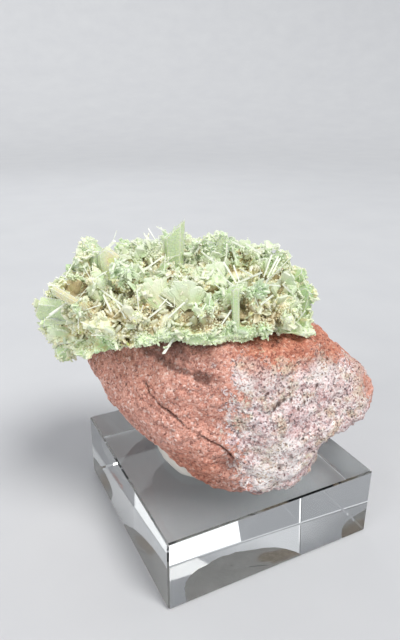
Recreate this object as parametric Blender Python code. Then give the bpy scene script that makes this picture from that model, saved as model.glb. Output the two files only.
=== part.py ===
"""A cluster of green gypsum crystals on its red-brown stone, standing on a clear acrylic block.

The model is in metres, +Z up. The block is square to the X and Y axes, and the middle of its
underside is the origin. The specimen stands turned on the block, so it has axes of its own:
u to its right, v to its back and w up from the top of the block. Its sizes are in millimetres.
"""

import math
import random
from typing import NamedTuple

import bmesh
import bpy
import numpy as np
from mathutils import Matrix, Vector, noise

MM = 0.001

# The acrylic block, a standard 3 x 3 x 1 inch one, in metres.
BLOCK_SIDE = 0.0762
BLOCK_HEIGHT = 0.0254
BLOCK_CHAMFER = 0.0005

# How far the specimen is turned on the block, about +Z.
SPECIMEN_TURN = math.radians(-26.8)

# Free space left between two pieces that touch, in millimetres.
SEAT_GAP = 0.3

# Edges shorter than this, in metres, are closed up.
SHORTEST_EDGE = 0.00001

# The putty pad that the stone is pressed into, in millimetres of the specimen's axes.
PAD_CENTRE = (-1.0, 5.0)
PAD_RADIUS = 26.6
PAD_HEIGHT = 2.4
PAD_BULGE = 0.9
PAD_SIDES = 32

# The stone: the upright line inside it that its reaches are measured from, and its mesh.
STONE_AXIS = (3.0, 0.0)
STONE_SIDES = 40
STONE_ROW_HEIGHT = 2.8
STONE_ROUGHNESS = 0.9

# The bed of grown-together crystals that covers the top of the stone.
BED_CENTRE = (-13.2, -0.5, 54.5)
BED_REACH = (37.4, 28.6, 11.0)
BED_DEPTH = 4.5
BED_SQUARENESS = 2.7
BED_FINENESS = 4
BED_LUMPS = 2.6

CLUMP_COUNT = 38
CLUMP_BLADES = 2
NUGGET_COUNT = 8
LOBE_CORNERS = 9

# The scattered crystals stop short of this sloping line at the right end.
RIGHT_LIMIT = 25.5
SEED = 7


class Level(NamedTuple):
    """A horizontal section of the stone: its height, and its reach every 30 degrees from its right."""

    height: float
    reaches: tuple


# The reaches run from the right by way of the back, the left and the front.
STONE_LEVELS = (
    Level(2.7, (28.0, 26.0, 24.0, 23.0, 24.0, 25.0, 23.5, 23.0, 24.5, 31.0, 34.0, 31.0)),
    Level(5.0, (31.0, 29.5, 29.0, 28.0, 29.0, 31.0, 28.5, 25.2, 27.4, 33.5, 36.0, 33.0)),
    Level(9.0, (31.0, 31.5, 32.0, 31.0, 33.0, 36.0, 33.6, 27.2, 30.4, 34.5, 37.0, 32.8)),
    Level(12.0, (33.0, 33.5, 33.5, 32.0, 35.0, 39.0, 36.4, 29.4, 33.0, 35.5, 38.0, 32.8)),
    Level(15.0, (38.5, 37.5, 35.0, 33.0, 36.5, 41.5, 39.0, 33.0, 35.0, 36.5, 38.5, 35.2)),
    Level(18.0, (45.0, 41.5, 36.5, 33.5, 37.5, 43.5, 41.0, 36.0, 36.5, 37.0, 38.5, 38.4)),
    Level(22.0, (47.5, 43.0, 37.0, 34.0, 38.0, 45.5, 43.5, 38.5, 38.0, 37.5, 39.0, 42.5)),
    Level(26.0, (47.0, 43.5, 37.5, 34.0, 38.0, 46.5, 45.0, 40.5, 38.5, 37.0, 40.0, 45.5)),
    Level(30.0, (44.0, 41.5, 37.0, 34.0, 38.0, 47.0, 46.5, 42.5, 39.5, 36.5, 41.0, 46.0)),
    Level(36.0, (40.0, 37.5, 35.0, 33.0, 38.0, 48.0, 48.5, 45.5, 40.0, 35.0, 41.0, 46.0)),
    Level(43.0, (29.5, 31.0, 31.5, 31.5, 36.5, 46.5, 49.0, 46.0, 39.5, 33.5, 37.0, 39.0)),
    Level(48.0, (25.0, 27.0, 28.5, 29.5, 34.5, 44.0, 46.5, 44.5, 38.0, 31.5, 33.2, 33.2)),
    Level(51.0, (22.0, 24.0, 26.0, 27.0, 31.0, 40.0, 43.5, 42.0, 35.5, 29.0, 30.0, 28.5)),
    Level(53.0, (15.0, 17.0, 19.0, 21.0, 25.0, 33.0, 37.0, 36.0, 30.0, 24.0, 24.0, 22.0)),
)


class Fracture(NamedTuple):
    """A flat break on the stone: the way it faces, and how far out it lies from the middle."""

    u: float
    v: float
    w: float
    reach: float


# The middle that the breaks are measured from.
STONE_MIDDLE = Vector((3.0, 0.0, 26.0))
FRACTURES = (
    Fracture(-0.10, -0.99, 0.06, 34.6),
    Fracture(0.42, -0.86, 0.28, 36.5),
    Fracture(-0.62, -0.72, 0.30, 37.5),
    Fracture(0.70, 0.52, 0.48, 35.5),
    Fracture(-0.50, 0.80, -0.30, 37.5),
    Fracture(0.35, 0.85, -0.38, 33.0),
    Fracture(-0.20, 0.93, 0.30, 31.0),
    Fracture(-0.62, 0.74, 0.26, 38.0),
    Fracture(0.86, 0.42, -0.28, 43.0),
)

# The crack across the front, from the upper left down to the right, and the ledge below it.
CRACK_START = Vector((-25.5, -30.0, 43.8))
CRACK_END = Vector((2.9, -34.0, 14.6))
CRACK_LEDGE = 1.0


# The sections of the crystals, in half widths and half thicknesses.
BEVELLED = ((-1, 0), (-0.62, 1), (0.62, 1), (1, 0), (0.62, -1), (-0.62, -1))
SHARP = ((-1, 0.25), (0.35, 1), (1, -0.25), (-0.35, -1))


class Blade(NamedTuple):
    """A flat crystal. At no turn its broad face looks to the front, and its tip leans to its right."""

    root: tuple
    tip: tuple
    width: float
    thickness: float
    turn: float = 0.0
    lean: float = 0.35
    steepness: float = 0.85


# The crystals that stand out in the outline and on the front.
LEADING_BLADES = {
    "spear": Blade((-18.4, -4.0, 62.0), (-18.4, -4.0, 82.2), 11.0, 2.4, 6, 1.0, 0.6),
    "spear_foot": Blade((-22.5, -4.5, 62.0), (-22.8, -4.0, 76.6), 7.5, 4.0, -10, 0.4, 0.5),
    "stub_left": Blade((-41.0, -5.0, 58.0), (-42.0, -4.0, 77.0), 7.5, 5.0, 25, -0.3),
    "stub_left_side": Blade((-42.0, -7.0, 58.0), (-45.2, -7.0, 73.6), 5.5, 4.2, -30, 0.2),
    "plate_left": Blade((-35.0, -8.0, 58.0), (-35.6, -6.5, 75.4), 9.5, 3.0, 6, -0.2),
    "prism_left": Blade((-36.0, -17.0, 54.5), (-51.4, -15.0, 65.6), 6.4, 4.6, 35, 0.1),
    "prism_under": Blade((-37.0, -19.5, 54.0), (-50.4, -18.5, 59.6), 7.6, 3.6, 15, 0.2),
    "leaf_upper": Blade((-40.0, -14.0, 57.0), (-59.8, -11.5, 56.4), 9.5, 3.0, 60, 0.3),
    "leaf_lower": Blade((-40.0, -16.0, 55.0), (-58.2, -13.5, 51.6), 7.5, 3.2, 45, -0.2),
    "leaf_back": Blade((-40.0, -4.0, 56.0), (-55.5, -3.0, 58.6), 8.0, 3.4, 75, 0.3),
    "low_plate": Blade((-34.0, -18.0, 51.5), (-56.4, -13.5, 47.4), 10.0, 4.0, 85, 0.3),
    "low_wedge": Blade((-42.5, -15.0, 50.0), (-52.6, -15.5, 40.8), 6.5, 3.6, 20, 0.1),
    "low_plate_front": Blade((-29.0, -22.0, 52.0), (-46.6, -22.5, 45.6), 11.0, 3.4, 80, 0.3),
    "fan_left": Blade((-19.5, -18.0, 56.0), (-22.8, -20.5, 70.6), 10.0, 3.2, 20, 0.2),
    "fan_middle": Blade((-16.5, -16.0, 56.0), (-16.4, -16.5, 72.4), 10.0, 3.4, -8, 0.1),
    "fan_right": Blade((-13.5, -18.0, 56.0), (-10.4, -21.0, 68.8), 9.0, 3.2, -28, -0.2),
    "top_fan_left": Blade((-4.5, -2.0, 60.0), (-6.6, -1.5, 77.6), 6.5, 3.0, 30, 0.2),
    "top_fan_right": Blade((-3.0, -1.0, 60.0), (-0.8, -0.5, 78.6), 7.0, 3.2, -15, -0.2),
    "top_fan_back": Blade((-2.5, 1.0, 60.0), (2.2, 3.0, 75.6), 6.5, 3.0, -50, 0.1),
    "column": Blade((2.6, -26.5, 53.6), (1.7, -27.6, 69.9), 2.6, 2.4, 0, 0.1),
    "column_broad": Blade((8.4, -23.0, 55.0), (8.0, -26.0, 70.6), 5.4, 3.0, -12, 0.0),
    "stub_right": Blade((21.4, -12.0, 49.5), (24.4, -12.6, 66.0), 6.4, 5.2, 20, 0.1),
    "stub_right_low": Blade((19.0, -15.0, 49.0), (26.0, -17.0, 56.0), 6.5, 4.2, 50, 0.0),
    "corner_right": Blade((12.0, -6.0, 58.0), (24.6, -6.5, 68.6), 7.0, 3.6, 55, 0.3),
    "top_right": Blade((12.0, -2.0, 59.0), (18.6, -2.0, 73.6), 7.0, 3.2, 25, 0.3),
    "top_right_inner": Blade((9.0, -2.0, 59.0), (11.2, -1.0, 74.2), 7.0, 3.4, -20, 0.1),
    "crest_left": Blade((-26.5, -2.0, 60.0), (-27.0, -0.5, 76.6), 7.0, 3.6, 35, -0.2),
    "crest_middle": Blade((-20.0, 2.0, 60.0), (-18.9, 3.0, 76.2), 6.5, 3.4, -35, 0.2),
    "crest_right": Blade((3.0, -2.0, 60.0), (5.2, -1.0, 75.0), 6.0, 3.2, 40, 0.1),
    "rim_right": Blade((16.0, -19.0, 53.5), (27.0, -22.4, 53.0), 8.0, 2.8, 80, 0.2),
    "rim_front": Blade((8.0, -20.0, 54.0), (11.5, -31.4, 55.4), 10.0, 2.8, 80, 0.0),
    "rim_middle": Blade((-6.0, -20.0, 54.0), (-6.5, -31.6, 55.2), 11.0, 3.0, 85, 0.1),
    "rim_left": Blade((-20.0, -20.0, 54.5), (-22.0, -31.0, 56.2), 11.0, 3.0, 80, -0.2),
    "back_fan_left": Blade((-30.0, 14.0, 56.0), (-37.0, 22.0, 69.0), 9.0, 3.6, 20, 0.2),
    "back_fan_middle": Blade((-12.0, 16.0, 58.0), (-14.0, 21.0, 71.5), 9.5, 3.4, -15, 0.2),
    "back_fan_right": Blade((8.0, 14.0, 57.0), (14.0, 20.0, 68.0), 8.5, 3.4, 40, 0.1),
    "back_rim": Blade((-14.0, 18.0, 54.0), (-15.0, 33.5, 56.0), 10.0, 3.2, 80, 0.2),
    "back_rim_left": Blade((-36.0, 10.0, 54.0), (-52.5, 15.5, 53.0), 9.0, 3.4, 70, 0.1),
}


# The needles long enough to show from a step away.
LEADING_NEEDLES = {
    "left_crest": Blade((-41.0, -5.5, 69.5), (-34.0, -6.5, 77.0), 1.2, 0.9),
    "pair_front": Blade((-14.5, -4.0, 66.5), (-8.8, -5.0, 76.6), 0.9, 0.9),
    "pair_back": Blade((-12.6, -3.5, 67.0), (-7.6, -4.4, 75.6), 0.9, 0.8),
    "right_crest": Blade((6.0, -2.0, 71.6), (17.0, -4.0, 75.2), 1.1, 0.9),
    "on_stone": Blade((-14.4, -27.0, 55.0), (-18.4, -31.6, 50.4), 1.1, 0.9),
    "left_front": Blade((-46.0, -20.0, 62.4), (-52.4, -23.0, 58.4), 1.0, 0.9),
    "right_front": Blade((10.0, -12.0, 64.0), (16.2, -16.6, 71.4), 1.0, 0.9),
    "back": Blade((-22.0, 14.0, 62.0), (-27.0, 21.0, 72.0), 1.0, 0.9),
}


class Lobe(NamedTuple):
    """A rounded knot of small crystals: its middle and its radius."""

    u: float
    v: float
    w: float
    radius: float


LEADING_LOBES = (
    Lobe(-26.1, -24.0, 62.6, 5.6),
    Lobe(-38.0, -20.0, 64.0, 6.0),
    Lobe(-38.6, -22.0, 58.6, 6.0),
    Lobe(-30.0, -20.0, 69.0, 5.6),
    Lobe(-1.6, -24.5, 63.0, 5.2),
    Lobe(-6.0, -18.0, 67.0, 5.6),
    Lobe(16.0, -20.0, 60.0, 6.2),
    Lobe(14.0, -16.0, 66.0, 5.6),
    Lobe(-52.0, -8.0, 53.0, 5.6),
    Lobe(-47.0, -2.0, 60.0, 6.0),
)


def smooth_rows(heights):
    """The stone's reaches at other heights, on a curve that runs smoothly through its levels."""
    known = np.array([level.height for level in STONE_LEVELS])
    reaches = np.array([level.reaches for level in STONE_LEVELS])
    slopes = np.gradient(reaches, known, axis=0)
    rows = []
    for height in heights:
        i = int(np.clip(np.searchsorted(known, height) - 1, 0, len(known) - 2))
        span = known[i + 1] - known[i]
        t = (height - known[i]) / span
        start = (1 + 2 * t) * (1 - t) ** 2 * reaches[i] + t * (1 - t) ** 2 * span * slopes[i]
        end = t * t * (3 - 2 * t) * reaches[i + 1] + t * t * (t - 1) * span * slopes[i + 1]
        rows.append(start + end)
    return rows


def section_reach(reaches, angle):
    """The reach of a section at an angle, on a smooth closed curve through its own reaches."""
    count = len(reaches)
    steps = angle / (2 * math.pi) * count
    i = math.floor(steps)
    t = steps - i
    before, here, following, after = (reaches[(i + k) % count] for k in (-1, 0, 1, 2))
    rise, bend = (following - before) / 2, (after - here) / 2
    start = (1 + 2 * t) * (1 - t) ** 2 * here + t * (1 - t) ** 2 * rise
    return start + t * t * (3 - 2 * t) * following + t * t * (t - 1) * bend


def flatten_breaks(point):
    """Pulls a point that stands proud of a fracture back onto it."""
    for fracture in FRACTURES:
        facing = Vector(fracture[:3]).normalized()
        proud = (point - STONE_MIDDLE).dot(facing) - fracture.reach
        if proud > 0:
            point = point - facing * proud * 0.9
    return point


def below_crack(point):
    """How far down and left of the crack a point is, in millimetres, on the front only."""
    along = (CRACK_END - CRACK_START).normalized()
    away = Vector((0, -1, 0)).cross(along).normalized()
    offset = (point - CRACK_START).dot(away)
    on_front = point.y < -12
    return offset if on_front else -99.0


def roughen(point, outwards):
    """Adds the lumps and hollows of a broken surface to a point of the stone."""
    broad = noise.noise(point / 15.0)
    fine = noise.noise(point / 6.5 + Vector((7, 3, 1)))
    return point + outwards * STONE_ROUGHNESS * (1.1 * broad + 0.7 * fine)


def stone_mesh(extra=0.0):
    """The stone's closed mesh, in millimetres, grown outwards by extra."""
    low, high = STONE_LEVELS[0].height, STONE_LEVELS[-1].height
    row_count = round((high - low) / STONE_ROW_HEIGHT) + 1
    heights = np.linspace(low, high, row_count)
    built = bmesh.new()
    rows = []
    for height, reaches in zip(heights, smooth_rows(heights)):
        ring = []
        for k in range(STONE_SIDES):
            angle = 2 * math.pi * k / STONE_SIDES
            outwards = Vector((math.cos(angle), math.sin(angle), 0))
            place = Vector((*STONE_AXIS, height)) + outwards * section_reach(reaches, angle)
            point = flatten_breaks(place)
            if low < height < high:
                point = roughen(point, outwards)
                below = below_crack(point)
                if below > 0:
                    point += Vector((0, CRACK_LEDGE * math.exp(-below / 12), 0))
            ring.append(built.verts.new(point))
        rows.append(ring)
    for lower, upper in zip(rows, rows[1:]):
        for k in range(STONE_SIDES):
            n = (k + 1) % STONE_SIDES
            built.faces.new((lower[k], lower[n], upper[n], upper[k]))
    for ring, height, is_top in ((rows[0], low, False), (rows[-1], high, True)):
        close_ring(built, ring, height, is_top)
    built.normal_update()
    if extra:
        grown = [vert.co + vert.normal * extra * vert.calc_shell_factor() for vert in built.verts]
        for vert, place in zip(built.verts, grown):
            vert.co = place
    return built


def close_ring(built, ring, height, is_top):
    """Closes the stone's top or underside with a slightly uneven cap of three inner rings."""
    middle = sum((vert.co for vert in ring), Vector()) / len(ring)
    outer = ring
    for share in (0.7, 0.4):
        inner = []
        for vert in ring[::2] if share < 0.7 else ring:
            place = middle.lerp(vert.co, share)
            rise = 0.5 * noise.noise(place / 9.0) if is_top else 0.0
            inner.append(built.verts.new((place.x, place.y, height + rise)))
        bridge_rings(built, outer, inner, is_top)
        outer = inner
    hub = built.verts.new((middle.x, middle.y, height))
    for k, vert in enumerate(outer):
        following = outer[(k + 1) % len(outer)]
        corners = (vert, following, hub) if is_top else (following, vert, hub)
        built.faces.new(corners)


def bridge_rings(built, outer, inner, is_top):
    """Fills the band between two rings, where the inner has as many corners or half as many."""
    step = len(outer) // len(inner)
    for k in range(len(inner)):
        n = (k + 1) % len(inner)
        band = [outer[(step * k + i) % len(outer)] for i in range(step + 1)]
        corners = band + [inner[n], inner[k]]
        built.faces.new(corners if is_top else corners[::-1])


def hull_mesh(points):
    """The closed convex mesh around some points."""
    built = bmesh.new()
    for point in points:
        built.verts.new(point)
    made = bmesh.ops.convex_hull(built, input=built.verts, use_existing_faces=False)
    spare = [item for item in made["geom_interior"] if isinstance(item, bmesh.types.BMVert)]
    bmesh.ops.delete(built, geom=spare, context="VERTS")
    bmesh.ops.recalc_face_normals(built, faces=built.faces)
    return built


def blade_axes(root, tip, turn):
    """A blade's length, and its directions along its width, its thickness and its length."""
    along = Vector(tip) - Vector(root)
    length = along.length
    along.normalize()
    front = Vector((0, -1, 0)) if abs(along.y) < 0.9 else Vector((0, 0, 1))
    across = along.cross(front).normalized()
    across.rotate(Matrix.Rotation(math.radians(turn), 3, along))
    return length, across, across.cross(along), along


def crystal_mesh(blade, section):
    """A flat crystal with the given section, in half widths and half thicknesses, and a slanting tip."""
    length, across, through, along = blade_axes(blade.root, blade.tip, blade.turn)
    half_width, half_thickness = blade.width / 2, blade.thickness / 2
    tip_place = blade.lean * half_width
    root = Vector(blade.root)
    points = [root + along * length + across * tip_place]
    for place, depth in section:
        place, depth = place * half_width, depth * half_thickness
        shoulder = length - blade.steepness * abs(place - tip_place) - 0.3 * abs(depth) - 0.4
        for height in (0.0, max(shoulder, 0.3 * length)):
            points.append(root + across * place + through * depth + along * height)
    return hull_mesh(points)


def lobe_mesh(lobe, rng):
    """A knobbly many-sided lump."""
    points = []
    for _ in range(LOBE_CORNERS):
        facing = Vector((rng.gauss(0, 1), rng.gauss(0, 1), rng.gauss(0, 1))).normalized()
        points.append(Vector(lobe[:3]) + facing * lobe.radius * rng.uniform(0.88, 1.0))
    return hull_mesh(points)


def bed_point(direction):
    """The point of the crystals' bed in a direction from its middle, and the way it faces there."""
    height = BED_REACH[2] if direction.z > 0 else BED_DEPTH
    reach = Vector((BED_REACH[0], BED_REACH[1], height))
    fullness = sum(abs(x) ** BED_SQUARENESS for x in direction) ** (-1 / BED_SQUARENESS)
    place = Vector([x * r * fullness for x, r in zip(direction, reach)])
    facing = Vector([math.copysign(abs(x / r) ** (BED_SQUARENESS - 1) / r, x) for x, r in zip(place, reach)])
    return Vector(BED_CENTRE) + place, facing.normalized()


def bed_mesh(rng):
    """The closed mesh of the bed, broken up into many small uneven faces."""
    built = bmesh.new()
    bmesh.ops.create_icosphere(built, subdivisions=BED_FINENESS, radius=1.0)
    for vert in built.verts:
        place, facing = bed_point(vert.co.normalized())
        vert.co = place + facing * rng.uniform(-0.4, 1.0) * BED_LUMPS
    return built


def bed_places(count, phase):
    """Evenly spread points on the bed's top and sides, each with the way that the bed faces there."""
    for k in range(count):
        spread = math.sqrt((k + 0.5) / count)
        angle = 2 * math.pi * (k * 0.618 + phase)
        rise = (1 - spread ** BED_SQUARENESS) ** (1 / BED_SQUARENESS)
        yield bed_point(Vector((spread * math.cos(angle), spread * math.sin(angle), rise)))


def scattered_blades(rng):
    """Clumps of blades that fan out of the bed all over."""
    blades = []
    for place, facing in bed_places(CLUMP_COUNT, 0.0):
        growth = (facing + Vector((0, 0, 0.35))).normalized()
        for _ in range(CLUMP_BLADES):
            spread = Vector((rng.gauss(0, 0.42), rng.gauss(0, 0.42), rng.gauss(0, 0.22)))
            along = (growth + spread).normalized()
            root = place - along * 4.0
            tip = place + along * rng.uniform(5.0, 9.0)
            width, thickness = rng.uniform(4.2, 8.0), rng.uniform(2.0, 3.4)
            turn, lean = rng.uniform(0, 180), rng.uniform(-0.6, 0.6)
            if tip.x + 0.5 * (tip.z - 60) < RIGHT_LIMIT:
                blades.append(Blade(tuple(root), tuple(tip), width, thickness, turn, lean))
    return blades


def scattered_lobes(rng):
    """Small lumps spread over the bed."""
    places = bed_places(NUGGET_COUNT, 0.37)
    return [Lobe(*(place + facing * 0.4), rng.uniform(3.2, 4.8)) for place, facing in places]


def joined(meshes):
    """Several meshes as one, their shapes still separate."""
    whole = bmesh.new()
    for part in meshes:
        shape = bpy.data.meshes.new("shape")
        part.to_mesh(shape)
        part.free()
        whole.from_mesh(shape)
        bpy.data.meshes.remove(shape)
    return whole


def to_object(name, built, in_specimen=True):
    """An object from a mesh in metres, or in millimetres of the specimen's axes."""
    bmesh.ops.triangulate(built, faces=built.faces)
    if in_specimen:
        bmesh.ops.scale(built, vec=(MM, MM, MM), verts=built.verts)
    shape = bpy.data.meshes.new(name)
    built.to_mesh(shape)
    built.free()
    placed = bpy.data.objects.new(name, shape)
    bpy.context.scene.collection.objects.link(placed)
    return placed


def add_boolean(target, operation, other, own_crossings=False):
    """Joins another object to the target, or cuts it away."""
    cut = target.modifiers.new(operation.lower(), "BOOLEAN")
    cut.operation = operation
    cut.object = other
    cut.use_self = own_crossings
    other.hide_render = True
    other.display_type = "WIRE"


def drop_short_edges(built):
    """Closes up the edges too short to matter, where that leaves the surface whole."""
    for edge in sorted(built.edges, key=lambda e: e.calc_length()):
        if not edge.is_valid:
            continue
        if edge.calc_length() > SHORTEST_EDGE:
            continue
        first, second = edge.verts
        rings = [{e.other_vert(vert) for e in vert.link_edges} for vert in (first, second)]
        if len(rings[0] & rings[1]) == 2:
            bmesh.ops.pointmerge(built, verts=[first, second], merge_co=(first.co + second.co) / 2)


def largest_body(placed):
    """Gives the object its evaluated mesh, without the loose chips that a cut leaves."""
    graph = bpy.context.evaluated_depsgraph_get()
    shape = bpy.data.meshes.new_from_object(placed.evaluated_get(graph))
    built = bmesh.new()
    built.from_mesh(shape)
    bmesh.ops.triangulate(built, faces=built.faces)
    drop_short_edges(built)
    bodies = []
    unseen = set(built.verts)
    while unseen:
        start = unseen.pop()
        body, reached = {start}, [start]
        while reached:
            for edge in reached.pop().link_edges:
                for vert in edge.verts:
                    if vert in unseen:
                        unseen.discard(vert)
                        body.add(vert)
                        reached.append(vert)
        bodies.append(body)
    bodies.sort(key=len)
    chips = [vert for body in bodies[:-1] for vert in body]
    bmesh.ops.delete(built, geom=chips, context="VERTS")
    built.to_mesh(shape)
    built.free()
    placed.modifiers.clear()
    placed.data = shape


def finish(name, colour, roughness, alpha=1.0):
    """A plain material."""
    surface = bpy.data.materials.new(name)
    surface.use_nodes = True
    shader = surface.node_tree.nodes["Principled BSDF"]
    shader.inputs["Base Color"].default_value = (*colour, 1.0)
    shader.inputs["Roughness"].default_value = roughness
    shader.inputs["Metallic"].default_value = 0.0
    shader.inputs["Alpha"].default_value = alpha
    return surface


def make_block():
    """The clear acrylic block, with its edges chamfered."""
    built = bmesh.new()
    bmesh.ops.create_cube(built, size=1.0)
    bmesh.ops.scale(built, vec=(BLOCK_SIDE, BLOCK_SIDE, BLOCK_HEIGHT), verts=built.verts)
    bmesh.ops.translate(built, vec=(0, 0, BLOCK_HEIGHT / 2), verts=built.verts)
    bmesh.ops.bevel(built, geom=built.edges, offset=BLOCK_CHAMFER, segments=1, affect="EDGES")
    block = to_object("acrylic_block", built, in_specimen=False)
    block.data.materials.append(finish("clear_acrylic", (0.86, 0.93, 0.95), 0.03, 0.35))
    return block


def make_pad():
    """The pad of putty, pressed flat and squeezed out a little around its edge."""
    built = bmesh.new()
    heights_and_swell = ((SEAT_GAP, 0.0), (0.9, PAD_BULGE * 0.8), (1.5, PAD_BULGE), (PAD_HEIGHT - 0.1, 0.0))
    rows = []
    for height, swell in heights_and_swell:
        ring = []
        for k in range(PAD_SIDES):
            angle = 2 * math.pi * k / PAD_SIDES
            facing = Vector((math.cos(angle), math.sin(angle), 0))
            wander = 0.8 * noise.noise(facing * 1.7 + Vector((4, 0, 0)))
            place = Vector((*PAD_CENTRE, height)) + facing * (PAD_RADIUS - PAD_BULGE + swell + wander)
            ring.append(built.verts.new(place))
        rows.append(ring)
    for lower, upper in zip(rows, rows[1:]):
        for k in range(PAD_SIDES):
            n = (k + 1) % PAD_SIDES
            built.faces.new((lower[k], lower[n], upper[n], upper[k]))
    built.faces.new(rows[0][::-1])
    built.faces.new(rows[-1])
    pad = to_object("putty_pad", built)
    pad.data.materials.append(finish("pale_putty", (0.62, 0.61, 0.57), 0.6))
    return pad


def make_stone():
    """The red-brown stone that the crystals grew on."""
    stone = to_object("matrix_stone", stone_mesh())
    stone.data.materials.append(finish("red_brown_stone", (0.50, 0.24, 0.17), 0.85))
    return stone


def make_gypsum():
    """The crystals, grown together into one piece that fits over the top of the stone."""
    rng = random.Random(SEED)
    shapes = [bed_mesh(rng)]
    shapes += [crystal_mesh(blade, BEVELLED) for blade in LEADING_BLADES.values()]
    shapes += [crystal_mesh(needle, SHARP) for needle in LEADING_NEEDLES.values()]
    shapes += [lobe_mesh(lobe, rng) for lobe in LEADING_LOBES]
    shapes += [crystal_mesh(blade, SHARP) for blade in scattered_blades(rng)]
    shapes += [lobe_mesh(lobe, rng) for lobe in scattered_lobes(rng)]
    first, others = shapes[0], shapes[1:]
    gypsum = to_object("gypsum_crystals", first)
    add_boolean(gypsum, "UNION", to_object("crystal_shapes", joined(others)), own_crossings=True)
    add_boolean(gypsum, "DIFFERENCE", to_object("stone_room", stone_mesh(extra=SEAT_GAP + 0.15)))
    largest_body(gypsum)
    gypsum.data.materials.append(finish("green_gypsum", (0.66, 0.78, 0.52), 0.35))
    return gypsum


def main():
    """Clears the scene and builds the four pieces."""
    for leftover in list(bpy.data.objects):
        bpy.data.objects.remove(leftover, do_unlink=True)
    specimen = bpy.data.objects.new("specimen", None)
    specimen.location = (0, 0, BLOCK_HEIGHT)
    specimen.rotation_euler = (0, 0, SPECIMEN_TURN)
    bpy.context.scene.collection.objects.link(specimen)
    make_block()
    for piece in (make_pad(), make_stone(), make_gypsum()):
        piece.parent = specimen


main()
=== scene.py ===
"""The looks of a specimen of green gypsum on its red stone, set with putty on a clear acrylic block.

Sizes are in millimetres unless a name says otherwise. The specimen has its own axes: u to its right, v from its
front to its back, and w up from the block's top face.
"""

import itertools
import logging
import math
from dataclasses import dataclass, field
from enum import Enum
from typing import NamedTuple

import bpy
import numpy as np
from mathutils import Matrix, Vector
from mathutils.bvhtree import BVHTree


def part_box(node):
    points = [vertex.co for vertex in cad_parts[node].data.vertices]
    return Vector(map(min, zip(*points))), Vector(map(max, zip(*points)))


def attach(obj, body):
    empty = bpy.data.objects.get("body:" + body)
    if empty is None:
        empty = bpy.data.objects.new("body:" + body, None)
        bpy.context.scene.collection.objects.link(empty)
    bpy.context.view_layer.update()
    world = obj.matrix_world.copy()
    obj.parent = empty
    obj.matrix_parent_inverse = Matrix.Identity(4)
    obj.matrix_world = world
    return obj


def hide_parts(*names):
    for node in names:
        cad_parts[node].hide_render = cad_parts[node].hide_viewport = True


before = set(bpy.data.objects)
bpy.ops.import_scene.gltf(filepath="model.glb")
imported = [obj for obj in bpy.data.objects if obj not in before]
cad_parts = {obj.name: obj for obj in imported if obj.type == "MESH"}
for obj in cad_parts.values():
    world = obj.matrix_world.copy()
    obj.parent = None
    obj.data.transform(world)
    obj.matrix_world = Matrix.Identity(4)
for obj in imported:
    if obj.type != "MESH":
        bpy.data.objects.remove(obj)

MM = 0.001

# The whole numbers that stir a lattice cell's place into a value that looks random.
CELL_STRIDES = (73856093, 19349663, 83492791)
SEED_STRIDE = 40503
STIRS = ((13, 1274126177), (15, 2246822519))
LOW_32_BITS = 0xFFFFFFFF
LOW_24_BITS = 0xFFFFFF
SEED_SHIFT = 0.37

Colour = tuple[float, float, float, float]
Point = tuple[float, float, float]
Stops = tuple[tuple[float, tuple[int, int, int]], ...]
log = logging.getLogger("gypsum_specimen")


def colour(red: int, green: int, blue: int) -> Colour:
    """Turns a colour as a screen shows it into the shader's own scale.

    Args:
        red: The share of red, from 0 to 255.
        green: The share of green, from 0 to 255.
        blue: The share of blue, from 0 to 255.

    Returns:
        The linear colour with an alpha of 1.
    """
    shares = [value / 255 for value in (red, green, blue)]
    linear = [share / 12.92 if share < 0.04045 else ((share + 0.055) / 1.055) ** 2.4 for share in shares]
    return (*linear, 1.0)


def soft_share(share: np.ndarray) -> np.ndarray:
    """Bends shares from 0 to 1 so that they leave 0 and reach 1 softly."""
    return share * share * (3.0 - 2.0 * share)


def ease(values: np.ndarray, low: float, high: float) -> np.ndarray:
    """Rises smoothly from 0 at low to 1 at high.

    Args:
        values: Numbers of any size.
        low: Where the rise starts. It may be above high, for a fall.
        high: Where the rise ends.

    Returns:
        Numbers from 0 to 1.
    """
    return soft_share(np.clip((values - low) / (high - low), 0.0, 1.0))


def unit(vectors: np.ndarray) -> np.ndarray:
    """Scales each row to a length of 1."""
    return vectors / np.maximum(np.linalg.norm(vectors, axis=-1, keepdims=True), 1e-12)


def cell_value(cells: np.ndarray, seed: int) -> np.ndarray:
    """Gives each cell of a lattice a fixed number that looks random.

    Args:
        cells: Whole numbers, three in each row.
        seed: Another seed gives other numbers.

    Returns:
        One number from 0 to 1 for each row.
    """
    mixed = (seed + 1) * SEED_STRIDE
    for axis, stride in enumerate(CELL_STRIDES):
        mixed = mixed ^ cells[..., axis] * stride
    for shift, stir in STIRS:
        mixed = ((mixed ^ (mixed >> shift)) * stir) & LOW_32_BITS
    return ((mixed ^ (mixed >> 16)) & LOW_24_BITS) / LOW_24_BITS


def noise(points: np.ndarray, size: float, seed: int = 0) -> np.ndarray:
    """Smooth random hills and hollows.

    Args:
        points: Places, three numbers in each row.
        size: How far apart the hills are, in the unit of the points.
        seed: Another seed gives other hills.

    Returns:
        One number from -1 to 1 for each place.
    """
    scaled = points / size + SEED_SHIFT * seed
    base = np.floor(scaled).astype(np.int64)
    share = soft_share(scaled - base)
    total = np.zeros(len(points))
    for corner in itertools.product((0, 1), repeat=3):
        weight = np.prod(np.where(corner, share, 1.0 - share), axis=1)
        total += weight * cell_value(base + np.array(corner), seed)
    return 2.0 * total - 1.0


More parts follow.
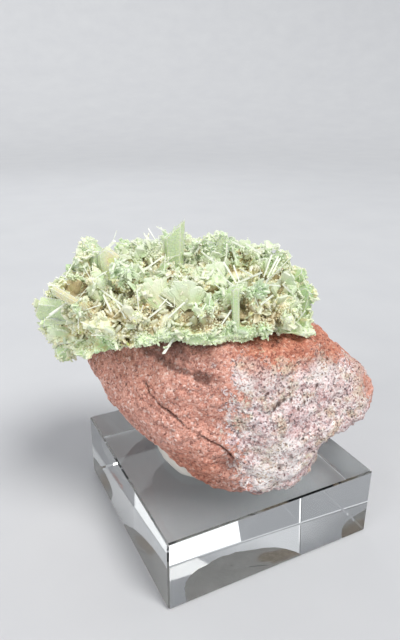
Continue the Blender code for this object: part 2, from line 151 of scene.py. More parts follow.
def pebbles(points: np.ndarray, size: float, seed: int = 0) -> np.ndarray:
    """The distance to the nearest of many scattered centres, as a share of their spacing.

    Args:
        points: Places, three numbers in each row.
        size: How far apart the centres are.
        seed: Another seed scatters them differently.

    Returns:
        One number from 0, at a centre, to about 1, between them.
    """
    scaled = points / size
    base = np.floor(scaled).astype(np.int64)
    nearest = np.full(len(points), np.inf)
    for corner in itertools.product((-1, 0, 1), repeat=3):
        cell = base + np.array(corner)
        centre = cell + np.stack([cell_value(cell, seed + axis) for axis in range(3)], axis=1)
        nearest = np.minimum(nearest, np.sum((centre - scaled) ** 2, axis=1))
    return np.sqrt(nearest)


def drift(points: np.ndarray, size: float, seed: int, axes: int = 3) -> np.ndarray:
    """Smooth random steps, with noise of its own along each axis.

    Args:
        points: Places, three numbers in each row.
        size: How far apart the hills of the noise are.
        seed: The first axis's seed. Each axis has the next one.
        axes: How many axes.

    Returns:
        A row of steps from -1 to 1 for each place.
    """
    return np.stack([noise(points, size, seed + axis) for axis in range(axes)], axis=1)


def sphere_directions(count: int) -> np.ndarray:
    """Spreads directions evenly over a sphere.

    Args:
        count: How many directions.

    Returns:
        Rows of length 1.
    """
    step = np.arange(count) + 0.5
    height = 1.0 - 2.0 * step / count
    around = step * math.pi * (3.0 - math.sqrt(5.0))
    reach = np.sqrt(1.0 - height**2)
    return np.stack([np.cos(around) * reach, np.sin(around) * reach, height], axis=1)


@dataclass(frozen=True)
class SpecimenAxes:
    """Where the specimen's own axes lie in the part's frame."""

    turn: float = math.radians(-26.8)
    foot: float = 25.4

    def to_part(self, points: np.ndarray) -> np.ndarray:
        """Turns places in the specimen's axes into the part's frame.

        Args:
            points: Rows of u, v and w in millimetres.

        Returns:
            Rows of x, y and z in metres.
        """
        cosine, sine = math.cos(self.turn), math.sin(self.turn)
        along, away, up = np.moveaxis(np.asarray(points, float), -1, 0)
        return np.stack([along * cosine - away * sine, along * sine + away * cosine, up + self.foot], axis=-1) * MM

    def from_part(self, points: np.ndarray) -> np.ndarray:
        """Turns places in the part's frame into the specimen's axes.

        Args:
            points: Rows of x, y and z in metres.

        Returns:
            Rows of u, v and w in millimetres.
        """
        cosine, sine = math.cos(self.turn), math.sin(self.turn)
        x, y, z = np.moveaxis(np.asarray(points, float) / MM, -1, 0)
        return np.stack([x * cosine + y * sine, y * cosine - x * sine, z - self.foot], axis=-1)


@dataclass
class Surface:
    """A mesh as plain arrays: its points in the specimen's axes, and its faces, all with as many corners."""

    points: np.ndarray
    faces: np.ndarray

    def edges(self) -> np.ndarray:
        """The pairs of points that share an edge, each pair once."""
        ends = np.stack([self.faces, np.roll(self.faces, -1, axis=1)], axis=-1).reshape(-1, 2)
        return np.unique(np.sort(ends, axis=1), axis=0)

    def face_normals(self) -> np.ndarray:
        """The way that each face looks.

        Returns:
            A row for each face, as long as twice its area.
        """
        corners = [self.points[self.faces[:, corner]] for corner in range(self.faces.shape[1])]
        if len(corners) == 3:
            return np.cross(corners[1] - corners[0], corners[2] - corners[0])
        return np.cross(corners[2] - corners[0], corners[3] - corners[1])

    def normals(self) -> np.ndarray:
        """The way that the surface looks at each point.

        Returns:
            A row of length 1 for each point.
        """
        facing = self.face_normals()
        total = np.zeros_like(self.points)
        for corner, axis in itertools.product(range(self.faces.shape[1]), range(3)):
            total[:, axis] += np.bincount(self.faces[:, corner], facing[:, axis], len(self.points))
        return unit(total)

    def smooth(self, rounds: int, share: float = 0.5) -> None:
        """Draws each point towards the mean of its neighbours.

        Args:
            rounds: How many times.
            share: How far each time, where 1 is all the way.
        """
        count = len(self.points)
        one, other = self.edges().T
        near = np.bincount(one, minlength=count) + np.bincount(other, minlength=count)
        for _ in range(rounds):
            total = np.zeros_like(self.points)
            for axis in range(3):
                total[:, axis] = np.bincount(one, self.points[other, axis], count)
                total[:, axis] += np.bincount(other, self.points[one, axis], count)
            self.points = self.points + share * (total / near[:, None] - self.points)


def ring_faces(around: int, rings: int, first: int = 0) -> np.ndarray:
    """Joins each ring of points to the next one by pairs of triangles.

    Args:
        around: How many points a ring has.
        rings: How many rings there are.
        first: The number of the first ring's first point.

    Returns:
        Rows of three points.
    """
    here = np.arange(around)
    after = (here + 1) % around
    faces = []
    for low in first + around * np.arange(rings - 1):
        high = low + around
        faces.append(np.stack([low + here, high + here, high + after], axis=1))
        faces.append(np.stack([low + here, high + after, low + after], axis=1))
    return np.concatenate(faces)


def placed(name: str, data: bpy.types.ID) -> bpy.types.Object:
    """Puts a new object into the scene.

    Args:
        name: Its name.
        data: Its mesh, light or camera.

    Returns:
        The new object.
    """
    made = bpy.data.objects.new(name, data)
    bpy.context.scene.collection.objects.link(made)
    return made


@dataclass(frozen=True)
class Workshop:
    """Turns surfaces into pieces of the scene, and nodes of the part into surfaces."""

    axes: SpecimenAxes

    def remeshed(self, node: bpy.types.Object, voxel: float, rounds: int) -> Surface:
        """Takes a node's form over as an even net of four-sided faces.

        Args:
            node: The node, which stays as it is.
            voxel: The size of a face.
            rounds: How often the net is smoothed.

        Returns:
            The net in the specimen's axes.
        """
        copy = placed("copy_for_the_net", node.data.copy())
        remesh = copy.modifiers.new("net", "REMESH")
        remesh.mode = "VOXEL"
        remesh.voxel_size = voxel * MM
        remesh.adaptivity = 0.0
        graph = bpy.context.evaluated_depsgraph_get()
        net = copy.evaluated_get(graph).to_mesh()
        points = np.empty(len(net.vertices) * 3)
        net.vertices.foreach_get("co", points)
        faces = np.empty(len(net.loops), dtype=np.int64)
        net.loops.foreach_get("vertex_index", faces)
        surface = Surface(self.axes.from_part(points.reshape(-1, 3)), faces.reshape(-1, 4))
        bpy.data.objects.remove(copy)
        surface.smooth(rounds)
        return surface

    def piece(
        self, name: str, surface: Surface, finish: bpy.types.Material, marks: dict[str, np.ndarray], soft: bool
    ) -> bpy.types.Object:
        """Makes a piece of the scene from a surface.

        Args:
            name: The piece's name.
            surface: Its form in the specimen's axes.
            finish: Its material.
            marks: Named values at each point that the material reads, three numbers a row.
            soft: True where the faces are shaded as one smooth skin.

        Returns:
            The new object.
        """
        mesh = bpy.data.meshes.new(name)
        count, corners = surface.faces.shape
        mesh.vertices.add(len(surface.points))
        mesh.vertices.foreach_set("co", self.axes.to_part(surface.points).astype(np.float32).ravel())
        mesh.loops.add(count * corners)
        mesh.loops.foreach_set("vertex_index", surface.faces.astype(np.int32).ravel())
        mesh.polygons.add(count)
        mesh.polygons.foreach_set("loop_start", np.arange(0, count * corners, corners, dtype=np.int32))
        mesh.polygons.foreach_set("use_smooth", np.full(count, soft))
        mesh.update(calc_edges=True)
        for mark, values in marks.items():
            stored = mesh.attributes.new(mark, "FLOAT_COLOR", "POINT")
            shares = np.ones((len(surface.points), 4), dtype=np.float32)
            shares[:, :3] = np.clip(values, 0.0, 1.0)
            stored.data.foreach_set("color", shares.ravel())
        mesh.materials.append(finish)
        return placed(name, mesh)


class MaterialMaker:
    """Lays out one material's nodes around its main shader.

    The mix node has one set of sockets for each kind of value. The numbers are those of its colours.
    """

    MIX_SHARE, MIX_FIRST, MIX_SECOND, MIX_RESULT = 0, 6, 7, 2

    def __init__(self, name: str) -> None:
        """Makes the material with its shader and output.

        Args:
            name: The material's name.
        """
        self.material = bpy.data.materials.new(name)
        self.material.use_nodes = True
        self.tree = self.material.node_tree
        self.tree.nodes.clear()
        self.shader = self.node("ShaderNodeBsdfPrincipled")
        output = self.node("ShaderNodeOutputMaterial")
        self.tree.links.new(self.shader.outputs["BSDF"], output.inputs["Surface"])
        self.place = self.node("ShaderNodeTexCoord").outputs["Object"]

    def node(self, kind: str, settings: dict | None = None, inputs: dict | None = None) -> bpy.types.Node:
        """Adds a node.

        Args:
            kind: The node's type.
            settings: What to set on the node itself.
            inputs: What goes into its sockets: other sockets, or plain values.

        Returns:
            The new node.
        """
        made = self.tree.nodes.new(kind)
        for name, value in (settings or {}).items():
            setattr(made, name, value)
        for name, value in (inputs or {}).items():
            self.feed(made.inputs[name], value)
        return made

    def feed(self, socket: bpy.types.NodeSocket, value: object) -> None:
        """Links a socket to another one, or sets it to a plain value.

        Args:
            socket: The socket that is fed.
            value: The other socket, a number or a colour.
        """
        if isinstance(value, bpy.types.NodeSocket):
            self.tree.links.new(value, socket)
        else:
            socket.default_value = value

    def dress(self, inputs: dict) -> bpy.types.Material:
        """Feeds the main shader.

        Args:
            inputs: What goes into its sockets: other sockets, or plain values.

        Returns:
            The finished material.
        """
        for name, value in inputs.items():
            self.feed(self.shader.inputs[name], value)
        return self.material

    def clouds(self, size: float, detail: float = 3.0, roughness: float = 0.55) -> bpy.types.NodeSocket:
        """Soft random clouds.

        Args:
            size: The width of a cloud.
            detail: How many finer clouds lie in it.
            roughness: How strong the finer ones are.

        Returns:
            A value from 0 to 1.
        """
        inputs = {"Vector": self.place, "Scale": 1 / (size * MM), "Detail": detail, "Roughness": roughness}
        return self.node("ShaderNodeTexNoise", inputs=inputs).outputs["Fac"]

    def grains(self, size: float) -> bpy.types.Node:
        """Packed grains.

        Args:
            size: The width of a grain.

        Returns:
            The node, with its Distance and Color.
        """
        return self.node("ShaderNodeTexVoronoi", inputs={"Vector": self.place, "Scale": 1 / (size * MM)})

    def grain_value(self, size: float) -> bpy.types.NodeSocket:
        """A random value for each packed grain."""
        inputs = {"Color": self.grains(size).outputs["Color"]}
        return self.node("ShaderNodeSeparateColor", inputs=inputs).outputs["Red"]

    def marks(self, name: str) -> list[bpy.types.NodeSocket]:
        """The values that a piece carries at each point.

        Args:
            name: The name that they are kept under.

        Returns:
            Three sockets.
        """
        found = self.node("ShaderNodeAttribute", {"attribute_type": "GEOMETRY", "attribute_name": name})
        parts = self.node("ShaderNodeSeparateColor", inputs={"Color": found.outputs["Color"]})
        return [parts.outputs[part] for part in ("Red", "Green", "Blue")]

    def ramp(self, value: bpy.types.NodeSocket, stops: Stops, sharp: bool = False) -> bpy.types.NodeSocket:
        """Turns a value into a colour.

        Args:
            value: A value from 0 to 1.
            stops: Places on that scale with their colours, as a screen shows them.
            sharp: True for bands of one colour each, False for soft changes.

        Returns:
            The colour's socket.
        """
        made = self.node("ShaderNodeValToRGB", inputs={"Fac": value})
        scale = made.color_ramp
        scale.interpolation = "CONSTANT" if sharp else "LINEAR"
        while len(scale.elements) < len(stops):
            scale.elements.new(1.0)
        for element, (place, shade) in zip(scale.elements, stops):
            element.position = place
            element.color = colour(*shade)
        return made.outputs["Color"]

    def level(
        self, value: bpy.types.NodeSocket, low: float, high: float, bottom: float = 0.0, top: float = 1.0
    ) -> bpy.types.NodeSocket:
        """Stretches a value.

        Args:
            value: The value.
            low: What becomes the bottom.
            high: What becomes the top.
            bottom: The lowest result.
            top: The highest result.

        Returns:
            The stretched value's socket.
        """
        inputs = {"Value": value, "From Min": low, "From Max": high, "To Min": bottom, "To Max": top}
        return self.node("ShaderNodeMapRange", {"clamp": True}, inputs).outputs["Result"]

    def maths(self, operation: str, first: object, second: object) -> bpy.types.NodeSocket:
        """Joins two values.

        Args:
            operation: What is done with them.
            first: A socket or a number.
            second: A socket or a number.

        Returns:
            The result's socket, kept between 0 and 1.
        """
        made = self.node("ShaderNodeMath", {"operation": operation, "use_clamp": True})
        self.feed(made.inputs[0], first)
        self.feed(made.inputs[1], second)
        return made.outputs[0]

    def mix(self, share: object, first: object, second: object, way: str = "MIX") -> bpy.types.NodeSocket:
        """Mixes two colours.

        Args:
            share: How much of the second, a socket or a number.
            first: The first colour.
            second: The second colour.
            way: How the second goes over the first.

        Returns:
            The mixed colour's socket.
        """
        made = self.node("ShaderNodeMix", {"data_type": "RGBA", "blend_type": way})
        for socket, value in ((self.MIX_SHARE, share), (self.MIX_FIRST, first), (self.MIX_SECOND, second)):
            self.feed(made.inputs[socket], value)
        return made.outputs[self.MIX_RESULT]

    def bump(self, height: bpy.types.NodeSocket, depth: float, under: object = None) -> bpy.types.NodeSocket:
        """Raises the surface's shading.

        Args:
            height: A value from 0 to 1.
            depth: How far 1 stands above 0.
            under: A bump that this one lies on.

        Returns:
            The normal's socket.
        """
        inputs = {"Height": height, "Distance": depth * MM, "Strength": 1.0}
        if under is not None:
            inputs["Normal"] = under
        return self.node("ShaderNodeBump", inputs=inputs).outputs["Normal"]


@dataclass(frozen=True)
class ClearAcrylic:
    """Cast acrylic, clear and polished, with a breath of dust on it."""

    name: str = "clear_acrylic"
    tint: Colour = (0.955, 0.98, 0.985, 1.0)
    refraction: float = 1.49
    speck_spacing: float = 1.7
    speck_roughness: float = 0.2
    smear_width: float = 14.0
    smear_roughness: tuple[float, float] = (0.006, 0.03)

    def make(self) -> bpy.types.Material:
        """Makes the material.

        Returns:
            The material.
        """
        maker = MaterialMaker(self.name)
        specks = maker.level(maker.grains(self.speck_spacing).outputs["Distance"], 0.05, 0.0)
        smears = maker.level(maker.clouds(self.smear_width, 4.0), 0.45, 0.8, *self.smear_roughness)
        rough = maker.maths("ADD", smears, maker.maths("MULTIPLY", specks, self.speck_roughness))
        inputs = {"Base Color": self.tint, "Roughness": rough, "Transmission Weight": 1.0, "IOR": self.refraction}
        return maker.dress(inputs)


@dataclass(frozen=True)
class DisplayPutty:
    """Warm grey putty, matte, with a broken contact against the acrylic."""

    name: str = "display_putty"
    roughness: float = 0.62
    plain: Stops = ((0.3, (208, 205, 199)), (0.7, (228, 226, 220)))
    crumbs: Stops = ((0.32, (126, 101, 74)), (0.45, (214, 198, 172)), (0.6, (150, 124, 96)), (0.75, (232, 222, 204)))

    def make(self) -> bpy.types.Material:
        """Makes the material.

        Returns:
            The material.
        """
        maker = MaterialMaker(self.name)
        broken, slit, lip = maker.marks("contact")
        plain = maker.ramp(maker.clouds(6.0), self.plain)
        smeared = maker.mix(broken, plain, maker.ramp(maker.clouds(2.4, 4.0), self.crumbs))
        edged = maker.mix(lip, smeared, colour(226, 223, 216))
        # Painted shade: the slit and the pinhole are gaps in the contact, painted near black for the shade in them.
        shade = maker.mix(slit, edged, colour(58, 52, 50))
        bumps = maker.bump(maker.clouds(3.0, 4.0), 0.25)
        bumps = maker.bump(maker.clouds(0.5), 0.05, bumps)
        return maker.dress({"Base Color": shade, "Roughness": self.roughness, "Normal": bumps})


@dataclass(frozen=True)
class SpeckledStone:
    """Red-brown stone of packed grains, with a broken pale face, specks of deep brown and an orange rim; painted
    highlights whiten the pale face, and painted shade darkens it under the crust, in the crack and in the hollow.
    """

    name: str = "speckled_stone"
    grain: float = 0.66
    red: Stops = (
        (0.0, (112, 70, 62)), (0.06, (176, 116, 101)), (0.25, (209, 147, 129)), (0.50, (225, 166, 148)),
        (0.78, (239, 190, 174)), (0.92, (250, 226, 217)),
    )
    pale: Stops = (
        (0.0, (72, 60, 64)), (0.09, (146, 122, 124)), (0.20, (206, 170, 165)), (0.36, (230, 207, 204)),
        (0.56, (244, 232, 230)), (0.78, (255, 253, 252)),
    )
    tints: Stops = ((0.36, (234, 229, 206)), (0.48, (255, 255, 255)), (0.64, (244, 228, 232)))
    broad: Stops = ((0.3, (212, 204, 202)), (0.7, (255, 255, 255)))

    def packed(
        self, maker: MaterialMaker, stops: Stops, coarse: float, fine: float, share: float
    ) -> bpy.types.NodeSocket:
        """Packed grains of two sizes.

        Args:
            maker: The material that they go into.
            stops: Their colours.
            coarse: The width of the coarse ones, as a share of the stone's grain.
            fine: The width of the fine ones, as the same share.
            share: How much of the fine ones shows.

        Returns:
            The colour's socket.
        """
        shades = [maker.ramp(maker.grain_value(self.grain * size), stops, sharp=True) for size in (coarse, fine)]
        return maker.mix(share, *shades)

    def make(self) -> bpy.types.Material:
        """Makes the material.

        Returns:
            The material.
        """
        maker = MaterialMaker(self.name)
        pale, specks_and_painted_shade, orange = maker.marks("patches")
        scatter = maker.grain_value(self.grain * 1.3)
        edge = maker.maths("ADD", pale, maker.level(scatter, 0.0, 1.0, -0.42, 0.42))
        broken = self.packed(maker, self.pale, 0.9, 0.5, 0.36)
        broken = maker.mix(0.8, broken, maker.ramp(maker.clouds(5.0), self.tints), "MULTIPLY")
        shade = maker.mix(maker.level(edge, 0.35, 0.65), self.packed(maker, self.red, 1.0, 0.45, 0.38), broken)
        # Painted highlight: grains in the highlight patches are painted near white where light glances off the pale
        # face.
        shining = maker.level(maker.grain_value(self.grain * 0.7), 0.3, 0.6)
        painted_glint = maker.maths("MULTIPLY", maker.marks("gleam")[0], shining)
        shade = maker.mix(maker.maths("MULTIPLY", painted_glint, 0.9), shade, colour(255, 251, 250))
        shade = maker.mix(maker.maths("MULTIPLY", orange, 0.7), shade, colour(236, 196, 168), "MULTIPLY")
        shade = maker.mix(0.7, shade, maker.ramp(maker.clouds(9.0, 4.0), self.broad), "MULTIPLY")
        # The specks mark darkens the colour for real specks and grains, and also as painted shadow under the crust
        # and painted shade in the crack and the hollow.
        shade = maker.mix(maker.maths("MULTIPLY", specks_and_painted_shade, 0.9), shade, colour(88, 66, 60), "MULTIPLY")
        rounded = maker.level(maker.grains(self.grain).outputs["Distance"], 0.75, 0.0)
        bumps = maker.bump(rounded, 0.16)
        bumps = maker.bump(maker.clouds(0.4, 3.0), 0.10, bumps)
        rough = maker.level(scatter, 0.0, 1.0, 0.58, 0.92)
        return maker.dress({"Base Color": shade, "Roughness": rough, "Specular IOR Level": 0.45, "Normal": bumps})


@dataclass(frozen=True)
class GreenGypsum:
    """Gypsum from mint to cream: translucent, frosted at the tips, and brown in the hollows, from staining and from
    painted shade.

    Between the two heights in painted_top_light, over the block's underside, it turns whiter, as painted light on the
    crust's top.
    """

    name: str
    clearness: float = 0.0
    frost: float = 0.55
    roughness: float = 0.5
    glow: float = 0.0
    refraction: float = 1.53
    painted_top_light: tuple[float, float] = (92.0, 100.0)
    greens: Stops = (
        (0.0, (190, 220, 168)), (0.22, (208, 230, 180)), (0.45, (224, 236, 196)), (0.66, (236, 238, 202)),
        (0.82, (241, 230, 188)), (0.92, (232, 238, 160)), (1.0, (218, 236, 136)),
    )
    stain_and_shade_colours: Stops = ((0.3, (176, 168, 100)), (0.45, (232, 212, 164)), (0.58, (212, 184, 138)), (0.7, (150, 122, 84)))

    def make(self) -> bpy.types.Material:
        """Makes the material.

        Returns:
            The material.
        """
        maker = MaterialMaker(self.name)
        tone, tip, hollow = maker.marks("growth")
        wander = maker.maths("ADD", tone, maker.level(maker.clouds(4.0, 3.0), 0.2, 0.8, -0.2, 0.2))
        white = maker.maths("MULTIPLY", maker.level(tip, 0.35, 1.0), self.frost)
        height = maker.node("ShaderNodeSeparateXYZ", inputs={"Vector": maker.place}).outputs["Z"]
        # Painted light: the crust's top is whitened between these heights.
        low, high = (up * MM for up in self.painted_top_light)
        white = maker.maths("ADD", white, maker.level(height, low, high, 0.0, 0.25))
        shade = maker.mix(white, maker.ramp(wander, self.greens), colour(248, 252, 239))
        # Staining and painted shade: where the hollow mark is high, largely from how closed in a point is, the colour
        # turns olive and brown.
        deep = maker.maths("ADD", hollow, maker.level(maker.clouds(2.5), 0.3, 0.7, -0.12, 0.12))
        stain_and_shade_share = maker.maths("MULTIPLY", maker.level(deep, 0.36, 0.80), 0.8)
        shade = maker.mix(stain_and_shade_share, shade, maker.ramp(maker.clouds(5.0, 3.0), self.stain_and_shade_colours))
        # Painted shade: the deepest hollows turn darker olive brown.
        shade = maker.mix(maker.level(hollow, 0.75, 1.05, 0.0, 0.6), shade, colour(112, 98, 62))
        sugar = maker.level(maker.grains(0.5).outputs["Distance"], 0.7, 0.0)
        bumps = maker.bump(maker.clouds(0.8, 4.0), 0.12)
        bumps = maker.bump(sugar, 0.06, bumps)
        rough = maker.level(maker.clouds(1.5), 0.3, 0.7, self.roughness - 0.15, self.roughness + 0.15)
        return maker.dress(
            {
                "Base Color": shade,
                "Roughness": rough,
                "Transmission Weight": self.clearness,
                "IOR": self.refraction,
                "Subsurface Weight": self.glow,
                "Subsurface Radius": (1.0, 1.05, 0.55),
                "Subsurface Scale": 1.5 * MM,
                "Normal": bumps,
            }
        )


@dataclass(frozen=True)
class PaleFloor:
    """A plain pale studio floor."""

    name: str = "pale_floor"
    roughness: float = 0.6
    shades: Stops = ((0.2, (195, 197, 201)), (0.8, (201, 203, 206)))

    def make(self) -> bpy.types.Material:
        """Makes the material."""
        maker = MaterialMaker(self.name)
        return maker.dress({"Base Color": maker.ramp(maker.clouds(60.0), self.shades), "Roughness": self.roughness})


# What all crystals share, as shares of their length and width: how far up the sides end at least, how far the roof
# falls for each millimetre through it, how wide the foot is, and where the part that stands free of the crust starts.
SHOULDER = 0.35
ROOF_FALL = 0.3
FOOT = 0.8
UPPER = 0.4


class Habit(Enum):
    """The forms of a crystal: its section in half widths and half thicknesses."""

    GRAIN = ((-1.0, 0.25), (0.35, 1.0), (1.0, -0.25), (-0.35, -1.0))
    BLADE = ((-1.0, 0.0), (-0.62, 1.0), (0.62, 1.0), (1.0, 0.0), (0.62, -1.0), (-0.62, -1.0))
    NEEDLE = ((-1.0, -1.0), (-1.0, 1.0), (1.0, 1.0), (1.0, -1.0))


def crystal_axes(
    root: np.ndarray, tip: np.ndarray, turn: np.ndarray
) -> tuple[np.ndarray, np.ndarray, np.ndarray]:
    """The ways that lie along, across and through each crystal.

    Args:
        root: Where each crystal starts.
        tip: Where it ends.
        turn: How far it is turned about its length, from a broad face that looks to the front.

    Returns:
        Three sets of rows of length 1.
    """
    along = unit(tip - root)
    helper = np.where(np.abs(along[:, 1:2]) > 0.93, [[0.0, 0.0, 1.0]], [[0.0, 1.0, 0.0]])
    across = unit(np.cross(helper, along))
    through = np.cross(along, across)
    cosine, sine = np.cos(turn)[:, None], np.sin(turn)[:, None]
    return along, across * cosine + through * sine, through * cosine - across * sine


@dataclass
class Crystals:
    """Many loose crystals of one habit: a row in each array for each of them."""

    habit: Habit
    root: np.ndarray
    tip: np.ndarray
    width: np.ndarray
    thickness: np.ndarray
    turn: np.ndarray
    lean: np.ndarray
    steepness: np.ndarray
    tone: np.ndarray
    hollow: np.ndarray

    def surface(self) -> Surface:
        """The closed mesh of every crystal.

        Returns:
            All crystals as one surface.
        """
        section = np.array(self.habit.value)
        corners = len(section)
        length = np.linalg.norm(self.tip - self.root, axis=1)
        along, across, through = crystal_axes(self.root, self.tip, self.turn)
        half_width, half_thickness = self.width / 2, self.thickness / 2
        lean = self.lean * half_width
        place = section[None, :, 0] * half_width[:, None]
        depth = section[None, :, 1] * half_thickness[:, None]
        fall = self.steepness[:, None] * np.abs(place - lean[:, None]) + ROOF_FALL * np.abs(depth)
        shoulder = np.maximum(length[:, None] - fall, SHOULDER * length[:, None])
        ring = self.root[:, None] + across[:, None] * place[..., None] + through[:, None] * depth[..., None]
        top = ring + along[:, None] * shoulder[..., None]
        foot = self.root[:, None] + (ring - self.root[:, None]) * FOOT
        end = self.root + along * length[:, None] + across * lean[:, None]
        points = np.concatenate([foot, top, end[:, None]], axis=1)
        pattern = [(0, corner, corner + 1) for corner in range(1, corners - 1)]
        for corner in range(corners):
            after = (corner + 1) % corners
            pattern.append((corner, corner + corners, after + corners))
            pattern.append((corner, after + corners, after))
            pattern.append((corner + corners, 2 * corners, after + corners))
        offsets = np.arange(len(points))[:, None, None] * points.shape[1]
        faces = (np.array(pattern)[None] + offsets).reshape(-1, 3)
        return Surface(points.reshape(-1, 3), faces)

    def marks(self) -> np.ndarray:
        """What the finish reads at each point.

        Returns:
            The tone, the nearness to the tip and the depth in a hollow.
        """
        corners = len(self.habit.value)
        foot = 1.0 if self.habit is Habit.NEEDLE else 0.0
        tip = np.array([foot] * corners + [max(foot, 0.75)] * corners + [1.0])
        rows = np.empty((len(self.root), len(tip), 3))
        rows[..., 0] = self.tone[:, None]
        rows[..., 1] = tip[None]
        # Staining with painted shade, strongest at each crystal's foot where it sinks among its neighbours.
        rows[..., 2] = self.hollow[:, None] * np.array([1.0] * corners + [0.6] * corners + [0.35])
        return rows.reshape(-1, 3)

    def kept(self, keep: np.ndarray) -> "Crystals":
        """The crystals whose row in keep is true."""
        rows = {name: value[keep] for name, value in vars(self).items() if name != "habit"}
        return Crystals(self.habit, **rows)


class Leader(NamedTuple):
    """One large crystal by its place.

    At no turn a broad face looks to the front. The peak lies to the right by lean, as a share of half the width. The
    clean ones carry no grains, and small crystals leave them in sight.
    """

    root: Point
    tip: Point
    width: float
    thickness: float
    turn: float = 0.0
    lean: float = 0.35
    steepness: float = 0.85
    tone: float = 0.2
    clean: bool = False


@dataclass(frozen=True)
class LargeCrystal:
    """One large crystal with a six-sided section, striped sides, frosted edges and a roof-shaped end."""

    row: Leader
    seed: int
    frost: float = 0.35
    stripes: int = 5
    ridge: float = 0.16
    wobble: float = 0.05
    levels: tuple[float, ...] = (0.0, 0.14, 0.28, 0.4, 0.52, 0.64, 0.76, 0.86, 0.94, 1.0)
    insets: tuple[float, ...] = (0.1, 0.5)

    def axes(self) -> tuple[np.ndarray, np.ndarray, np.ndarray]:
        """Finds the crystal's own axes.

        Returns:
            The ways that lie along, across and through it.
        """
        ends = [np.array([point]) for point in (self.row.root, self.row.tip)]
        along, across, through = crystal_axes(*ends, np.array([-math.radians(self.row.turn)]))
        return along[0], across[0], through[0]

    def length(self) -> float:
        """The crystal's length."""
        return float(np.linalg.norm(np.array(self.row.tip) - np.array(self.row.root)))

    def section(self) -> tuple[np.ndarray, np.ndarray]:
        """Draws the section, with a shallow ridge in each stripe.

        Returns:
            Its points all round the crystal, and how near an edge each one is.
        """
        corners = np.array(Habit.BLADE.value) * (self.row.width / 2, self.row.thickness / 2)
        points, edge = [], []
        for corner, (start, end) in enumerate(zip(corners, np.roll(corners, -1, axis=0))):
            side = end - start
            reach = np.linalg.norm(side)
            rim = min(self.frost / reach, 0.3)
            shares = np.append(0.0, np.linspace(rim, 1.0 - rim, self.stripes))
            cells = np.array([(stripe, corner, self.seed) for stripe in range(self.stripes)])
            ridges = np.append(0.0, self.ridge * (cell_value(cells, 1) - 0.5))
            out = [side[1] / reach, -side[0] / reach]
            points.append(start + shares[:, None] * side + ridges[:, None] * out)
            edge.append(np.append(1.0, np.zeros(self.stripes)))
        return np.concatenate(points), np.concatenate(edge)

    def gap(self, points: np.ndarray) -> np.ndarray:
        """How far each point lies outside the crystal's upper part, less than 0 inside it.

        Args:
            points: Places near the crystal.

        Returns:
            A distance for each.
        """
        away = points - np.array(self.row.root)
        along, across, through = (away @ way for way in self.axes())
        length = self.length()
        roof = along + self.row.steepness * np.abs(across - self.row.lean * self.row.width / 2) - length
        sides = np.maximum(np.abs(across) - self.row.width / 2, np.abs(through) - self.row.thickness / 2)
        return np.maximum(np.maximum(sides, roof), UPPER * length - along)

    def roof(self, flat: np.ndarray) -> np.ndarray:
        """How high the roof is.

        Args:
            flat: Places in the section, across and through.

        Returns:
            A height over the root for each.
        """
        length, peak = self.length(), self.row.lean * self.row.width / 2
        height = length - self.row.steepness * np.abs(flat[:, 0] - peak) - ROOF_FALL * np.abs(flat[:, 1])
        return np.maximum(height, SHOULDER * length)

    def build(self) -> tuple[Surface, np.ndarray]:
        """Makes the crystal.

        Returns:
            Its closed surface, and each point's tone, frost, and brown from staining and painted shade.
        """
        section, edge = self.section()
        shoulder = self.roof(section)
        along, across, through = self.axes()
        peak = np.array([self.row.lean * self.row.width / 2, 0.0])
        rows = [(section * (FOOT + (1.0 - FOOT) * level), shoulder * level, edge, level) for level in self.levels]
        rows[-1] = (section, shoulder, np.ones(len(section)), 1.0)
        for inset in self.insets:
            flat = peak + (section - peak) * (1.0 - inset)
            rows.append((flat, self.roof(flat), 0.6 * edge, 1.0))
        rows.append((peak[None], self.roof(peak[None]), np.ones(1), 1.0))
        flat, up, frost = (np.concatenate([row[column] for row in rows]) for column in range(3))
        points = np.array(self.row.root) + flat[:, :1] * across + flat[:, 1:] * through + up[:, None] * along
        points += self.wobble * drift(points, 1.7, 170)
        tone = self.row.tone + 0.12 * noise(points, 4.0, 173)
        tone += spotted(points, YELLOWEST) * (0.97 - tone)
        # Staining with painted shade: brownest at the foot, fading up the crystal, and in the listed spots.
        stain_and_shade = np.concatenate([np.full(len(row[0]), 0.5 - 0.7 * row[3]) for row in rows])
        stain_and_shade = np.maximum(stain_and_shade, 0.6 * spotted(points, STAINED_AND_SHADED))
        return Surface(points, self.net(len(section), len(rows) - 1)), np.stack([tone, frost, stain_and_shade], axis=1)

    def net(self, around: int, rings: int) -> np.ndarray:
        """The faces that join the rings, the foot and the peak.

        Args:
            around: How many points a ring has.
            rings: How many rings there are.

        Returns:
            Rows of three points.
        """
        here = np.arange(around)
        foot = np.stack([np.zeros(around - 2, int), here[1:-1], here[2:]], axis=1)
        last = (rings - 1) * around
        top = np.stack([last + here, np.full(around, rings * around), last + (here + 1) % around], axis=1)
        return np.concatenate([foot, ring_faces(around, rings), top])


@dataclass
class AcrylicBlock:
    """The clear block that carries the specimen."""

    node: str = "acrylic_block"
    finish: ClearAcrylic = ClearAcrylic()

    def dress(self) -> bpy.types.Object:
        """Gives the block's own node its finish.

        Returns:
            The node.
        """
        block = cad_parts[self.node]
        block.data.materials.clear()
        block.data.materials.append(self.finish.make())
        return block


